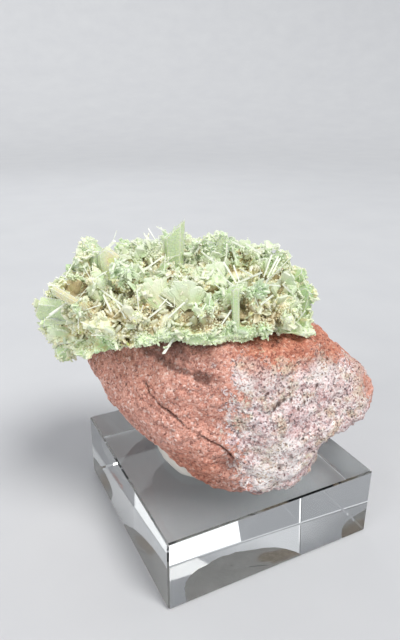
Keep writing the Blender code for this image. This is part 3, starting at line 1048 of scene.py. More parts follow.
@dataclass
class PuttyPad:
    """The pad pressed flat on the block, with a lip squeezed up round the stone's foot."""

    workshop: Workshop
    node: str = "putty_pad"
    finish: DisplayPutty = DisplayPutty()
    middle: tuple[float, float] = (-1.0, 5.0)
    bearings: tuple[float, ...] = (0, 150, 175, 190, 202, 212, 222, 230, 236, 243, 250, 265, 360)
    radii: tuple[float, ...] = (26.6, 26.6, 25.2, 23.8, 23.5, 23.8, 24.8, 25.6, 26.3, 26.9, 27.2, 26.8, 26.6)
    sink: float = 0.05
    lip: float = 3.1
    top: float = 2.9
    rim: float = 3.0
    spokes: int = 256
    base_rings: int = 63
    lip_rings: tuple[Point, ...] = (
        (0.6, 0.0, 0.10), (1.0, 0.0, 0.34), (1.05, 0.0, 0.60), (0.9, -0.15, 0.85), (0.5, -0.6, 1.0),
        (0.3, -1.4, 0.96),
    )
    torn_side: float = math.radians(118)
    high_side: float = math.radians(225)
    torn_place: tuple[float, float] = (10.0, 22.0)
    torn_size: tuple[float, float] = (9.0, 5.0)
    slit_place: tuple[float, float] = (3.0, 15.5)
    slit_slope: float = 0.10
    hole_place: tuple[float, float] = (-9.0, 19.0)

    def circle(self, around: np.ndarray) -> np.ndarray:
        """Rows of length 1 that look from the pad's middle in each direction, given in radians."""
        return np.stack([np.cos(around), np.sin(around), np.zeros_like(around)], axis=1)

    def outline(self, around: np.ndarray) -> np.ndarray:
        """The radius of the pressed face in each direction.

        Args:
            around: Directions in radians.

        Returns:
            A radius for each.
        """
        circle = self.circle(around)
        wave = 0.3 * noise(circle, 0.45, 3) + 0.18 * noise(circle, 0.1, 5)
        torn = ease(np.cos(around - self.torn_side), 0.75, 0.95)
        steps = np.floor(4 * (noise(circle, 0.16, 8) + 1)) / 4 - 1.0
        reach = np.interp(np.degrees(around), self.bearings, self.radii)
        return reach + wave + torn * (steps - 0.6)

    def surface(self) -> Surface:
        """Draws the pad's skin, ring by ring from the middle of its base to the middle of its top.

        Each row of lip_rings says how far a ring of the lip swells out, how far it then steps in, and how far up the
        lip it is.

        Returns:
            The closed skin.
        """
        around = np.linspace(0, 2 * math.pi, self.spokes, endpoint=False)
        circle, edge = self.circle(around), self.outline(around)
        climb = self.lip + 0.5 * noise(circle, 0.3, 11) + 0.2 * noise(circle, 0.08, 12)
        climb = climb + 0.9 * ease(np.cos(around - self.high_side), 0.35, 0.85)
        spread = 0.35 + 0.25 * noise(circle, 0.2, 14) + 0.15 * noise(circle, 0.06, 15)
        base, top = np.full_like(edge, -self.sink), np.full_like(edge, self.top)
        rings = [(edge * share, base) for share in np.linspace(0.0, 1.0, self.base_rings + 1)[1:]]
        rings += [(edge + spread * swell + step, climb * up) for swell, step, up in self.lip_rings]
        rings += [(edge * share - self.rim, top) for share in (1.0, 0.8, 0.6, 0.4, 0.2)]
        points = [np.array([[*self.middle, -self.sink]])]
        for reach, height in rings:
            ring = circle * reach[:, None]
            ring[:, :2] += self.middle
            ring[:, 2] = height
            points.append(ring)
        points.append(np.array([[*self.middle, self.top]]))
        return Surface(np.concatenate(points), self.net(len(rings)))

    def net(self, rings: int) -> np.ndarray:
        """The faces that join the rings and the two middles.

        Args:
            rings: How many rings there are.

        Returns:
            Rows of three points.
        """
        spoke = np.arange(self.spokes)
        after = (spoke + 1) % self.spokes
        rim, last = 1 + (rings - 1) * self.spokes, 1 + rings * self.spokes
        base = np.stack([np.zeros_like(spoke), 1 + after, 1 + spoke], axis=1)
        top = np.stack([rim + spoke, rim + after, np.full_like(spoke, last)], axis=1)
        return np.concatenate([base, ring_faces(self.spokes, rings, 1)[:, ::-1], top])

    def marks(self, points: np.ndarray) -> np.ndarray:
        """Where the contact is broken, where it has a slit or a hole, and where the lip is.

        Args:
            points: The pad's points.

        Returns:
            Three shares for each point.
        """
        flat, under = points[:, :2], points[:, 2] < 0
        torn = np.linalg.norm((flat - self.torn_place) / self.torn_size, axis=1) + 0.35 * noise(points, 3.0, 21)
        across = np.abs((flat - self.slit_place) @ np.array([self.slit_slope, 1.0]))
        along = np.abs((flat - self.slit_place) @ np.array([1.0, -self.slit_slope]))
        slit = ease(across, 0.5, 0.2) * ease(along, 4.5, 3.5)
        hole = ease(np.linalg.norm(flat - self.hole_place, axis=1), 0.6, 0.3)
        return np.stack([under * ease(torn, 1.15, 0.75), under * np.maximum(slit, hole), points[:, 2] > 0], axis=1)

    def build(self) -> bpy.types.Object:
        """Makes the pad, which stands for its node.

        Returns:
            The new piece.
        """
        surface = self.surface()
        marks = {"contact": self.marks(surface.points)}
        pad = self.workshop.piece("putty_with_lip", surface, self.finish.make(), marks, True)
        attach(pad, "root")
        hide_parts(self.node)
        return pad


class Patch(NamedTuple):
    """A round patch on the stone's front: its place along and up, and its radius."""

    along: float
    up: float
    reach: float


@dataclass
class MatrixStone:
    """The stone that the crystals grow on, with its crack, its broken pale face and its grain."""

    workshop: Workshop
    node: str = "matrix_stone"
    finish: SpeckledStone = SpeckledStone()
    voxel: float = 0.52
    crack: tuple[tuple[float, float], ...] = (
        (-26.0, 38.5), (-23.4, 36.6), (-21.2, 34.2), (-19.0, 32.5), (-16.4, 30.9), (-13.1, 28.7), (-9.8, 26.4),
        (-5.9, 24.4), (-2.4, 22.1), (0.3, 19.9), (2.5, 16.6),
    )
    # Patches on the front where the pale face gets painted highlights.
    highlight_patches: tuple[Patch, ...] = (
        Patch(4.7, 42.7, 4.2), Patch(28.5, 42.0, 5.5), Patch(17.0, 20.0, 8.0), Patch(12.0, 12.0, 7.0),
        Patch(20.0, 12.0, 6.0),
    )
    # A dent low on the front, also painted with shade.
    hollow: Patch = Patch(0.4, 15.2, 4.2)
    hollow_stretch: float = 1.2
    right_tip: Point = (50.0, -13.0, 30.0)
    front: tuple[float, float] = (-8.0, -14.0)
    dark_spots: tuple[Patch, ...] = (
        Patch(16.6, 36.6, 0.7), Patch(15.0, 35.4, 0.8), Patch(13.8, 34.4, 0.5), Patch(18.6, 36.2, 0.5),
        Patch(22.9, 34.8, 0.7), Patch(11.7, 39.2, 0.5), Patch(18.2, 39.4, 0.6), Patch(21.4, 32.8, 0.4),
        Patch(19.4, 18.6, 0.6), Patch(30.8, 44.6, 0.5), Patch(25.6, 42.0, 0.4), Patch(27.0, 38.5, 0.4),
        Patch(31.5, 36.0, 0.4),
    )

    def in_patch(
        self, points: np.ndarray, patch: Patch, wobble: np.ndarray, outer: float, inner: float, stretch: float = 1.0
    ) -> np.ndarray:
        """How far each point belongs to a patch on the front.

        Args:
            points: Places on the stone.
            patch: The patch.
            wobble: What is added to each point's distance from the middle.
            outer: Where the patch ends, as a share of its radius.
            inner: Where it is at its full, as the same share.
            stretch: How much wider than high it is.

        Returns:
            A share for each.
        """
        gap = np.hypot((points[:, 0] - patch.along) / stretch, points[:, 2] - patch.up) + wobble
        return ease(gap, patch.reach * outer, patch.reach * inner) * ease(points[:, 1], *self.front)

    def crack_depth(self, points: np.ndarray) -> np.ndarray:
        """How deep in the crack each point lies, from 0 to 1.

        Args:
            points: Places on the stone.

        Returns:
            A share for each.
        """
        flat = points[:, (0, 2)] + 0.5 * drift(points, 3.0, 31, 2)
        nearest = np.full(len(points), np.inf)
        for start, end in zip(self.crack, self.crack[1:]):
            start, way = np.array(start), np.array(end) - np.array(start)
            share = np.clip((flat - start) @ way / (way @ way), 0.0, 1.0)
            nearest = np.minimum(nearest, np.linalg.norm(flat - start - share[:, None] * way, axis=1))
        width = 0.1 + 0.3 * noise(points, 4.0, 33)
        broken = ease(noise(points, 5.0, 34), -0.4, 0.1)
        broken *= 1.0 - 0.8 * ease(points[:, 2], 37.0, 40.0)
        return broken * ease(nearest, width + 0.45, 0.0) * ease(points[:, 1], -18.0, -24.0)

    def pale(self, points: np.ndarray) -> np.ndarray:
        """How far each point belongs to the pale broken face.

        Args:
            points: Places on the stone.

        Returns:
            A share for each.
        """
        along, away, up = points.T
        left = np.interp(up, [2, 7, 13, 24, 38, 49], [9.0, 7.5, 3.2, 0.0, 0.9, -0.5])
        top = np.interp(along, [-2, 4.5, 12, 30, 40], [49.0, 49.5, 46.5, 45.5, 41.5])
        wander = 3.0 * noise(points, 7.0, 41) + 1.8 * noise(points, 2.4, 42)
        front = ease(along - left + wander, -6.0, 6.5) * ease(top - up + wander, -4.0, 4.5)
        right = np.interp(up, [30, 36, 41], [47.0, 45.5, 42.5])
        front *= ease(right - along + wander, -0.5, 2.0) * ease(away + 0.5 * wander, 0.0, -9.0)
        patches = noise(points, 16.0, 43) + 0.3 * noise(points, 4.0, 44)
        elsewhere = ease(patches, 0.35, 0.75) * ease(away, -8.0, 2.0)
        return np.maximum(front, 0.75 * elsewhere)

    def specks_and_painted_shade(self, points: np.ndarray) -> np.ndarray:
        """How much darker each point is: painted shadow under the crystals' overhang, real specks and grains of deep
        brown, and painted shade in the hollow.

        Args:
            points: Places on the stone.

        Returns:
            A share for each.
        """
        along, _, up = points.T
        mottle = noise(points, 3.5, 51) + 0.6 * noise(points, 1.4, 52)
        # Painted shadow: the upper left darkens under the overhanging crust, broadly and along a band.
        shade = 0.8 * ease(up + 3.0 * mottle, 44.0, 50.5) * ease(along, 0.0, -8.0)
        band = np.abs(up - np.interp(along, [-30, -14, -4], [48.5, 44.5, 43.0])) + 2.2 * np.abs(mottle)
        shade = np.maximum(shade, 0.85 * ease(band, 3.2, 0.8) * ease(along, 0.0, -6.0))
        wobble = 0.5 * noise(points, 1.2, 53)
        for spot in self.dark_spots:
            shade = np.maximum(shade, self.in_patch(points, spot, wobble, 1.4, 0.5))
        # Painted shade in the dented hollow.
        hollow = self.in_patch(points, self.hollow, 1.2 * mottle, 1.0, 0.4, self.hollow_stretch)
        scattered = ease(noise(points, 1.6, 54), 0.62, 0.8)
        return np.maximum(np.maximum(shade, 0.6 * hollow), 0.6 * scattered)

    def gleam(self, points: np.ndarray) -> np.ndarray:
        """How far each point belongs to the painted highlights, where the pale face is whitened to stand in for light
        glancing off it.

        Args:
            points: Places on the stone.

        Returns:
            A share for each.
        """
        mottle = 1.6 * noise(points, 3.0, 55) + 1.0 * noise(points, 1.3, 56)
        return np.max([self.in_patch(points, patch, mottle, 1.0, 0.3) for patch in self.highlight_patches], axis=0)

    def orange(self, points: np.ndarray) -> np.ndarray:
        """How orange each point is: along the upper right, and at the lower left.

        Args:
            points: Places on the stone.

        Returns:
            A share for each.
        """
        along, _, up = points.T
        mottle = noise(points, 6.0, 61) + 0.4 * noise(points, 2.0, 62)
        upper = ease(up + 2.0 * mottle, 42.0, 47.0) * ease(along, -2.0, 6.0)
        lower = ease(up + 3.0 * mottle, 22.0, 12.0) * ease(along, 2.0, -6.0)
        tail = ease(along + 1.5 * mottle, 38.0, 43.0) * ease(up + mottle, 33.0, 37.0)
        return np.maximum(np.maximum(0.95 * upper, 0.75 * lower), 0.8 * tail)

    def weathered(self, surface: Surface) -> Surface:
        """Wears the stone's skin: broad dents, lumps, grain, pits and the crack.

        Args:
            surface: The stone's even net.

        Returns:
            The worn net.
        """
        points, facing = surface.points, surface.normals()
        pale = self.pale(points)
        rise = 0.55 * noise(points, 11.0, 1) + 0.42 * noise(points, 5.0, 2) + 0.32 * noise(points, 2.3, 3)
        rise += (0.3 + 0.35 * pale) * (0.6 - 2.0 * np.abs(noise(points, 6.5, 5)))
        rise += (0.18 + 0.12 * pale) * noise(points, 1.1, 4)
        rise += (0.22 + 0.16 * pale) * (0.5 - pebbles(points, 1.5, 7))
        rise -= (0.25 + 0.5 * pale) * ease(noise(points, 2.6, 9), 0.5, 0.85)
        rise += 0.5 * ease(noise(points, 3.4, 13) - 0.4 * noise(points, 1.5, 14), 0.15, 0.3)
        rise += 1.3 * ease(np.linalg.norm(points - np.array(self.right_tip), axis=1), 6.0, 1.0)
        rise -= 1.1 * self.crack_depth(points)
        wobble = 0.8 * noise(points, 3.0, 10)
        rise -= 1.3 * self.in_patch(points, self.hollow, wobble, 1.0, 0.3, self.hollow_stretch)
        return Surface(points + facing * rise[:, None], surface.faces)

    def build(self) -> tuple[bpy.types.Object, Surface]:
        """Makes the stone, which stands for its node.

        Returns:
            The new piece and its surface.
        """
        net = self.workshop.remeshed(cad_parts[self.node], self.voxel, 6)
        worn = self.weathered(net)
        crack, gleam = self.crack_depth(net.points), self.gleam(net.points)
        # The crack's depth darkens the colour as painted shade in its groove, and keeps the pale face out of it.
        specks_and_painted_shade = np.maximum(self.specks_and_painted_shade(net.points), crack)
        patches = np.stack([self.pale(net.points) * (1 - crack), specks_and_painted_shade, self.orange(net.points)], axis=1)
        marks = {"patches": patches, "gleam": np.stack([gleam, gleam, gleam], axis=1)}
        stone = self.workshop.piece("weathered_stone", worn, self.finish.make(), marks, True)
        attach(stone, "root")
        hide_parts(self.node)
        return stone, worn


class Spot(NamedTuple):
    """A round place on the crust: its middle, its radius, and how strong it is."""

    middle: Point
    radius: float
    strength: float


# Where the crust is brown from staining and from painted shade in its cavities, where it is cream, and where it is
# greenest and yellowest.
STAINED_AND_SHADED = (
    Spot((-45.0, -14.5, 64.0), 4.2, 0.9),
    Spot((-50.4, -16.2, 55.9), 6.0, 0.35),
    Spot((-38.5, -25.0, 61.0), 4.5, 0.35),
    Spot((-33.6, -26.5, 59.1), 4.0, 0.35),
    Spot((-22.0, -28.5, 58.8), 5.5, 0.42),
    Spot((-11.3, -28.2, 60.0), 5.5, 0.42),
    Spot((-4.6, -29.7, 59.4), 5.0, 0.48),
    Spot((5.5, -26.0, 60.0), 5.5, 0.42),
    Spot((12.2, -24.5, 58.7), 6.5, 0.48),
    Spot((-29.0, -27.0, 60.0), 4.5, 0.36),
    Spot((20.5, -16.0, 57.0), 4.5, 0.45),
    Spot((-17.0, -25.5, 63.0), 3.0, 0.45),
    Spot((-2.0, -8.0, 68.0), 4.0, 0.30),
    Spot((20.0, 12.0, 60.0), 7.0, 0.35),
    Spot((-20.0, 27.0, 58.0), 7.0, 0.35),
    Spot((-48.0, 8.0, 56.0), 6.0, 0.35),
)
CREAMY = (
    Spot((8.5, -25.9, 61.6), 4.0, 0.9),
    Spot((12.8, -24.5, 59.5), 5.0, 0.9),
    Spot((16.0, -22.0, 63.0), 4.0, 0.7),
    Spot((-18.0, -28.0, 60.5), 4.5, 0.7),
    Spot((-27.0, -27.0, 62.0), 5.0, 0.6),
    Spot((-39.0, -24.0, 64.0), 4.0, 0.6),
    Spot((-26.0, -10.0, 72.0), 5.0, 0.6),
    Spot((0.0, -6.0, 74.0), 4.0, 0.6),
    Spot((-44.0, 12.0, 60.0), 7.0, 0.7),
    Spot((-8.0, 24.0, 62.0), 7.0, 0.7),
    Spot((22.0, 4.0, 60.0), 6.0, 0.7),
)
GREENEST = (
    Spot((-35.5, -26.1, 50.5), 4.5, 1.0),
    Spot((8.5, -26.4, 68.5), 3.5, 0.9),
    Spot((-54.0, -14.0, 56.0), 4.0, 0.8),
    Spot((2.0, -28.5, 56.0), 4.0, 0.8),
    Spot((-8.0, -28.0, 63.5), 3.0, 0.8),
    Spot((-30.0, 20.0, 62.0), 6.0, 0.7),
    Spot((10.0, 22.0, 60.0), 6.0, 0.7),
)
YELLOWEST = (
    Spot((-34.6, -8.6, 71.6), 3.4, 1.0),
    Spot((10.0, -25.0, 66.0), 2.4, 0.8),
)
# The lowest edge of the crust on the front, as places along and up.
FRONT_RIM = (
    (-52.0, 42.0), (-47.0, 45.0), (-43.5, 44.2), (-40.0, 47.4), (-36.9, 49.6), (-31.0, 50.2), (-25.0, 51.5),
    (-19.0, 52.2), (-12.0, 51.8), (0.0, 52.8), (7.0, 53.2), (9.5, 54.6), (13.5, 54.4), (17.0, 53.4),
    (21.5, 53.3), (25.4, 51.2),
)
# Tufts round the upper edge of the open hollow on the left.
RIM_TUFTS = (
    (-53.8, -13.4, 62.5), (-52.8, -13.4, 64.5), (-51.4, -13.4, 66.1), (-49.6, -13.3, 67.1),
    (-47.6, -13.2, 67.5), (-45.6, -13.1, 67.3), (-44.0, -13.0, 66.5),
)
# The way from the camera into the specimen, and the round windows, with their radii, that small crystals leave open.
VIEW = np.array((-0.22, 0.92, -0.32))
WINDOWS = (((-45.2, -12.0, 63.4), 2.9), ((-48.4, -12.0, 64.0), 2.2))
# Where knobs are pressed flat and where hollows are dug, each as deep as its strength.
FLATTENED = (
    Spot((9.7, -29.4, 52.4), 3.4, 1.8),
    Spot((-13.7, -30.0, 52.0), 3.0, 1.4),
)
CAVES = (
    Spot((-45.2, -15.2, 64.6), 3.2, 3.6),
    Spot((-44.0, -12.0, 63.8), 2.8, 3.2),
    Spot((-17.2, -26.0, 63.0), 2.6, 2.2),
    Spot((-11.2, -27.0, 61.8), 2.6, 2.2),
    Spot((-19.5, -30.0, 59.0), 2.2, 2.4),
    Spot((-8.5, -30.0, 58.6), 2.4, 2.4),
    Spot((-1.5, -29.0, 60.2), 2.0, 2.4),
    Spot((5.5, -28.0, 59.0), 2.2, 2.0),
    Spot((14.2, -26.0, 57.6), 2.4, 2.4),
    Spot((20.8, -18.5, 56.4), 2.4, 2.4),
    Spot((-31.5, -27.5, 57.6), 2.2, 2.0),
)


def spotted(points: np.ndarray, spots: tuple[Spot, ...]) -> np.ndarray:
    """How strongly the nearest round places act on each point.

    Args:
        points: Places on the crust.
        spots: The round places.

    Returns:
        A strength for each point.
    """
    total = np.zeros(len(points))
    for spot in spots:
        gap = np.linalg.norm(points - np.array(spot.middle), axis=1)
        total = np.maximum(total, spot.strength * ease(gap, spot.radius * 1.25, spot.radius * 0.35))
    return total


class Fan(NamedTuple):
    """Blades that spread from one foot, from a first tip round to a last one."""

    foot: Point
    first: Point
    last: Point
    count: int
    bulge: float
    # How brown the fan is, from staining and from painted shade where it sits in a cavity.
    stain_and_shade: float = 0.0


FANS = (
    Fan((-18.4, -25.4, 61.8), (-27.0, -24.6, 65.4), (-18.0, -21.4, 70.4), 12, 1.6, 0.5),
    Fan((-10.8, -27.0, 61.6), (-18.8, -25.2, 67.6), (-7.2, -25.4, 68.6), 13, 1.6, 0.55),
    Fan((-47.1, -13.5, 58.7), (-53.4, -13.2, 62.5), (-44.1, -13.0, 66.5), 14, 0.3, 1.25),
    Fan((-36.2, -20.5, 62.0), (-40.8, -20.5, 66.0), (-34.8, -18.0, 67.8), 8, 0.6),
    Fan((-52.0, -14.0, 54.0), (-58.6, -13.0, 54.0), (-55.0, -12.0, 59.4), 8, 0.5),
    Fan((-47.0, -17.5, 50.5), (-54.6, -16.5, 48.6), (-53.5, -16.5, 53.4), 8, 0.5),
    Fan((16.5, -19.5, 62.0), (13.0, -18.5, 67.6), (20.6, -15.0, 67.0), 8, 0.6),
    Fan((-3.0, -15.0, 66.5), (-7.6, -14.0, 70.4), (0.2, -12.0, 71.2), 8, 0.6),
)

# The large crystals, by their places.
LEADERS = {
    "spear": Leader((-16.0, -4.9, 65.0), (-16.0, -4.9, 83.6), 6.8, 2.3, 6, 1.0, 1.0, 0.22, True),
    "stub_left": Leader((-41.0, -5.4, 58.0), (-42.0, -4.4, 77.2), 7.6, 5.0, 25, -0.3, 0.85, 0.15),
    "plate_left": Leader((-35.0, -8.4, 58.0), (-35.6, -6.9, 75.4), 9.5, 3.2, 6, -0.2, 0.85, 0.4, True),
    "prism_left": Leader((-40.6, -27.2, 63.0), (-51.3, -18.4, 65.0), 3.7, 1.8, 20, 0.1, 0.5, 0.74, True),
    "leaf_upper": Leader((-44.0, -18.5, 58.0), (-58.6, -14.0, 57.2), 9.6, 3.0, 15, -0.3, 0.6, 0.3, True),
    "leaf_lower": Leader((-40.0, -16.0, 55.0), (-58.2, -13.5, 51.6), 7.5, 3.4, 45, -0.2, 0.85, 0.4),
    "low_wedge": Leader((-42.5, -15.0, 50.0), (-52.6, -15.5, 40.8), 6.5, 3.8, 20, 0.1, 0.85, 0.3),
    "top_fan_left": Leader((-4.5, -2.4, 60.0), (-6.6, -1.9, 77.6), 6.5, 3.2, 30, 0.2, 0.85, 0.25),
    "top_fan_right": Leader((-3.0, -1.4, 60.0), (-0.8, -0.9, 78.6), 7.0, 3.4, -15, -0.2, 0.85, 0.35),
    "column": Leader((2.6, -27.0, 53.6), (1.7, -28.0, 69.9), 2.5, 2.3, 0, 0.1, 0.85, 0.3, True),
    "stub_right": Leader((21.4, -12.4, 49.5), (24.4, -13.0, 66.0), 6.4, 5.4, 20, 0.1, 0.85, 0.2),
    "corner_right": Leader((12.0, -6.4, 58.0), (24.6, -6.9, 68.6), 7.0, 3.8, 55, 0.3, 0.85, 0.25),
    "top_right": Leader((12.0, -2.4, 59.0), (18.6, -2.4, 73.6), 7.0, 3.4, 25, 0.3, 0.85, 0.3),
    "crest_left": Leader((-26.5, -2.4, 60.0), (-27.0, -0.9, 76.6), 7.0, 3.8, 35, -0.2, 0.85, 0.4),
    "crest_middle": Leader((-20.0, 2.0, 60.0), (-18.9, 3.0, 76.4), 6.5, 3.6, -35, 0.2, 0.85, 0.35),
    "back_fan_left": Leader((-30.0, 14.0, 56.0), (-37.0, 22.3, 69.2), 9.0, 3.8, 20, 0.2, 0.85, 0.3),
    "back_fan_middle": Leader((-12.0, 16.2, 58.0), (-14.0, 21.3, 71.7), 9.5, 3.6, -15, 0.2, 0.85, 0.15),
    "back_fan_right": Leader((8.0, 14.0, 57.0), (14.2, 20.3, 68.2), 8.5, 3.6, 40, 0.1, 0.85, 0.25),
    "back_rim_left": Leader((-36.0, 10.0, 54.0), (-52.8, 15.8, 53.0), 9.0, 3.6, 70, 0.1, 0.85, 0.3),
}
# The long white needles, by their places.
LONG_NEEDLES = {
    "left_crest": Leader((-41.0, -5.5, 69.5), (-34.0, -6.5, 77.0), 0.9, 0.8),
    "pair_front": Leader((-14.5, -4.0, 66.5), (-8.8, -5.0, 76.6), 0.7, 0.6),
    "pair_back": Leader((-12.6, -3.5, 67.0), (-7.6, -4.4, 75.6), 0.65, 0.6),
    "right_crest": Leader((6.0, -2.0, 71.6), (17.0, -4.0, 75.2), 0.9, 0.75),
    "on_stone": Leader((-14.4, -27.0, 55.0), (-18.4, -31.6, 50.4), 0.7, 0.6),
    "left_front": Leader((-46.0, -20.0, 62.4), (-52.0, -22.6, 58.6), 0.5, 0.45),
    "right_front": Leader((10.0, -12.0, 64.0), (16.2, -16.6, 71.4), 0.65, 0.6),
    "back": Leader((-22.0, 14.0, 62.0), (-27.0, 21.0, 72.0), 0.75, 0.7),
    "mid_long": Leader((-27.2, -20.6, 69.6), (-18.6, -15.5, 74.6), 0.42, 0.38),
    "left_drop": Leader((-35.9, -21.6, 64.6), (-33.0, -26.6, 61.2), 0.5, 0.45),
    "left_cross": Leader((-36.5, -20.7, 65.7), (-27.7, -28.0, 62.3), 0.45, 0.4),
    "left_low": Leader((-31.8, -24.5, 63.5), (-28.6, -29.2, 60.2), 0.45, 0.4),
    "top_mid_drop": Leader((-4.0, -10.5, 69.4), (1.6, -21.4, 67.2), 0.7, 0.5),
    "right_bunch_a": Leader((11.6, -9.6, 66.4), (14.1, -6.6, 72.8), 0.5, 0.45),
    "right_bunch_b": Leader((12.6, -10.2, 66.4), (16.1, -7.0, 72.4), 0.55, 0.45),
    "right_bunch_c": Leader((14.0, -10.2, 67.6), (16.6, -7.6, 72.0), 0.45, 0.4),
    "star_a": Leader((2.6, -20.6, 65.2), (-3.0, -14.0, 70.5), 0.5, 0.45),
    "star_b": Leader((3.4, -19.4, 66.4), (-1.0, -12.0, 72.0), 0.5, 0.45),
    "star_c": Leader((4.0, -18.4, 66.6), (2.0, -13.0, 71.3), 0.45, 0.4),
    "star_d": Leader((0.4, -19.4, 66.6), (10.5, -15.4, 69.8), 0.45, 0.4),
    "middle_a": Leader((-14.9, -25.4, 63.8), (-11.9, -18.6, 69.6), 0.45, 0.4),
    "middle_b": Leader((-19.4, -28.4, 63.4), (-13.4, -20.6, 67.9), 0.36, 0.32),
    "left_end_low": Leader((-53.2, -21.4, 57.2), (-49.2, -20.6, 59.6), 0.45, 0.4),
    "right_top_a": Leader((6.0, -4.0, 75.6), (11.0, -6.0, 72.8), 0.55, 0.5),
    "right_top_b": Leader((2.0, -3.0, 75.8), (6.0, -4.2, 74.2), 0.5, 0.4),
    "right_low": Leader((16.0, -21.2, 67.8), (21.6, -17.0, 61.6), 0.55, 0.5),
    "mid_cross": Leader((-21.6, -23.6, 66.8), (-15.8, -26.8, 63.4), 0.36, 0.32),
    "mid_upright": Leader((0.0, -6.2, 70.0), (0.2, -6.4, 76.0), 0.5, 0.4),
    "mid_short_a": Leader((-11.0, -24.4, 66.4), (-8.6, -28.2, 63.4), 0.5, 0.4),
    "mid_short_b": Leader((4.2, -12.0, 69.6), (7.4, -17.6, 69.4), 0.5, 0.4),
    "top_short": Leader((-7.6, -6.6, 73.6), (-3.4, -12.4, 71.6), 0.5, 0.4),
    "left_top": Leader((-30.6, -20.6, 73.4), (-35.2, -12.4, 69.0), 0.5, 0.45),
    "left_end": Leader((-49.4, -17.6, 65.4), (-53.0, -17.8, 66.6), 0.5, 0.45),
    "front_a": Leader((0.4, -23.2, 65.8), (4.4, -27.4, 67.4), 0.5, 0.4),
    "front_b": Leader((-22.4, -29.0, 60.4), (-18.8, -27.6, 63.0), 0.5, 0.4),
    "front_c": Leader((-16.8, -29.6, 60.8), (-12.2, -28.2, 65.0), 0.45, 0.4),
    "front_d": Leader((-1.8, -28.8, 58.6), (1.0, -27.4, 62.6), 0.5, 0.4),
    "front_e": Leader((9.0, -28.4, 64.4), (13.2, -22.0, 65.0), 0.5, 0.4),
    "right_end": Leader((21.2, -17.2, 54.4), (23.6, -17.6, 58.6), 0.5, 0.4),
}


class Lean(NamedTuple):
    """How a group of small crystals points: out of the crust, along with its neighbours, and at random.

    Where a crystal leaves the crust at too flat an angle, below the least cosine, it is pushed outwards.
    """

    out: float
    clump: float
    clump_size: float
    stray: float
    least: float = -1.0
    push: float = 1.0


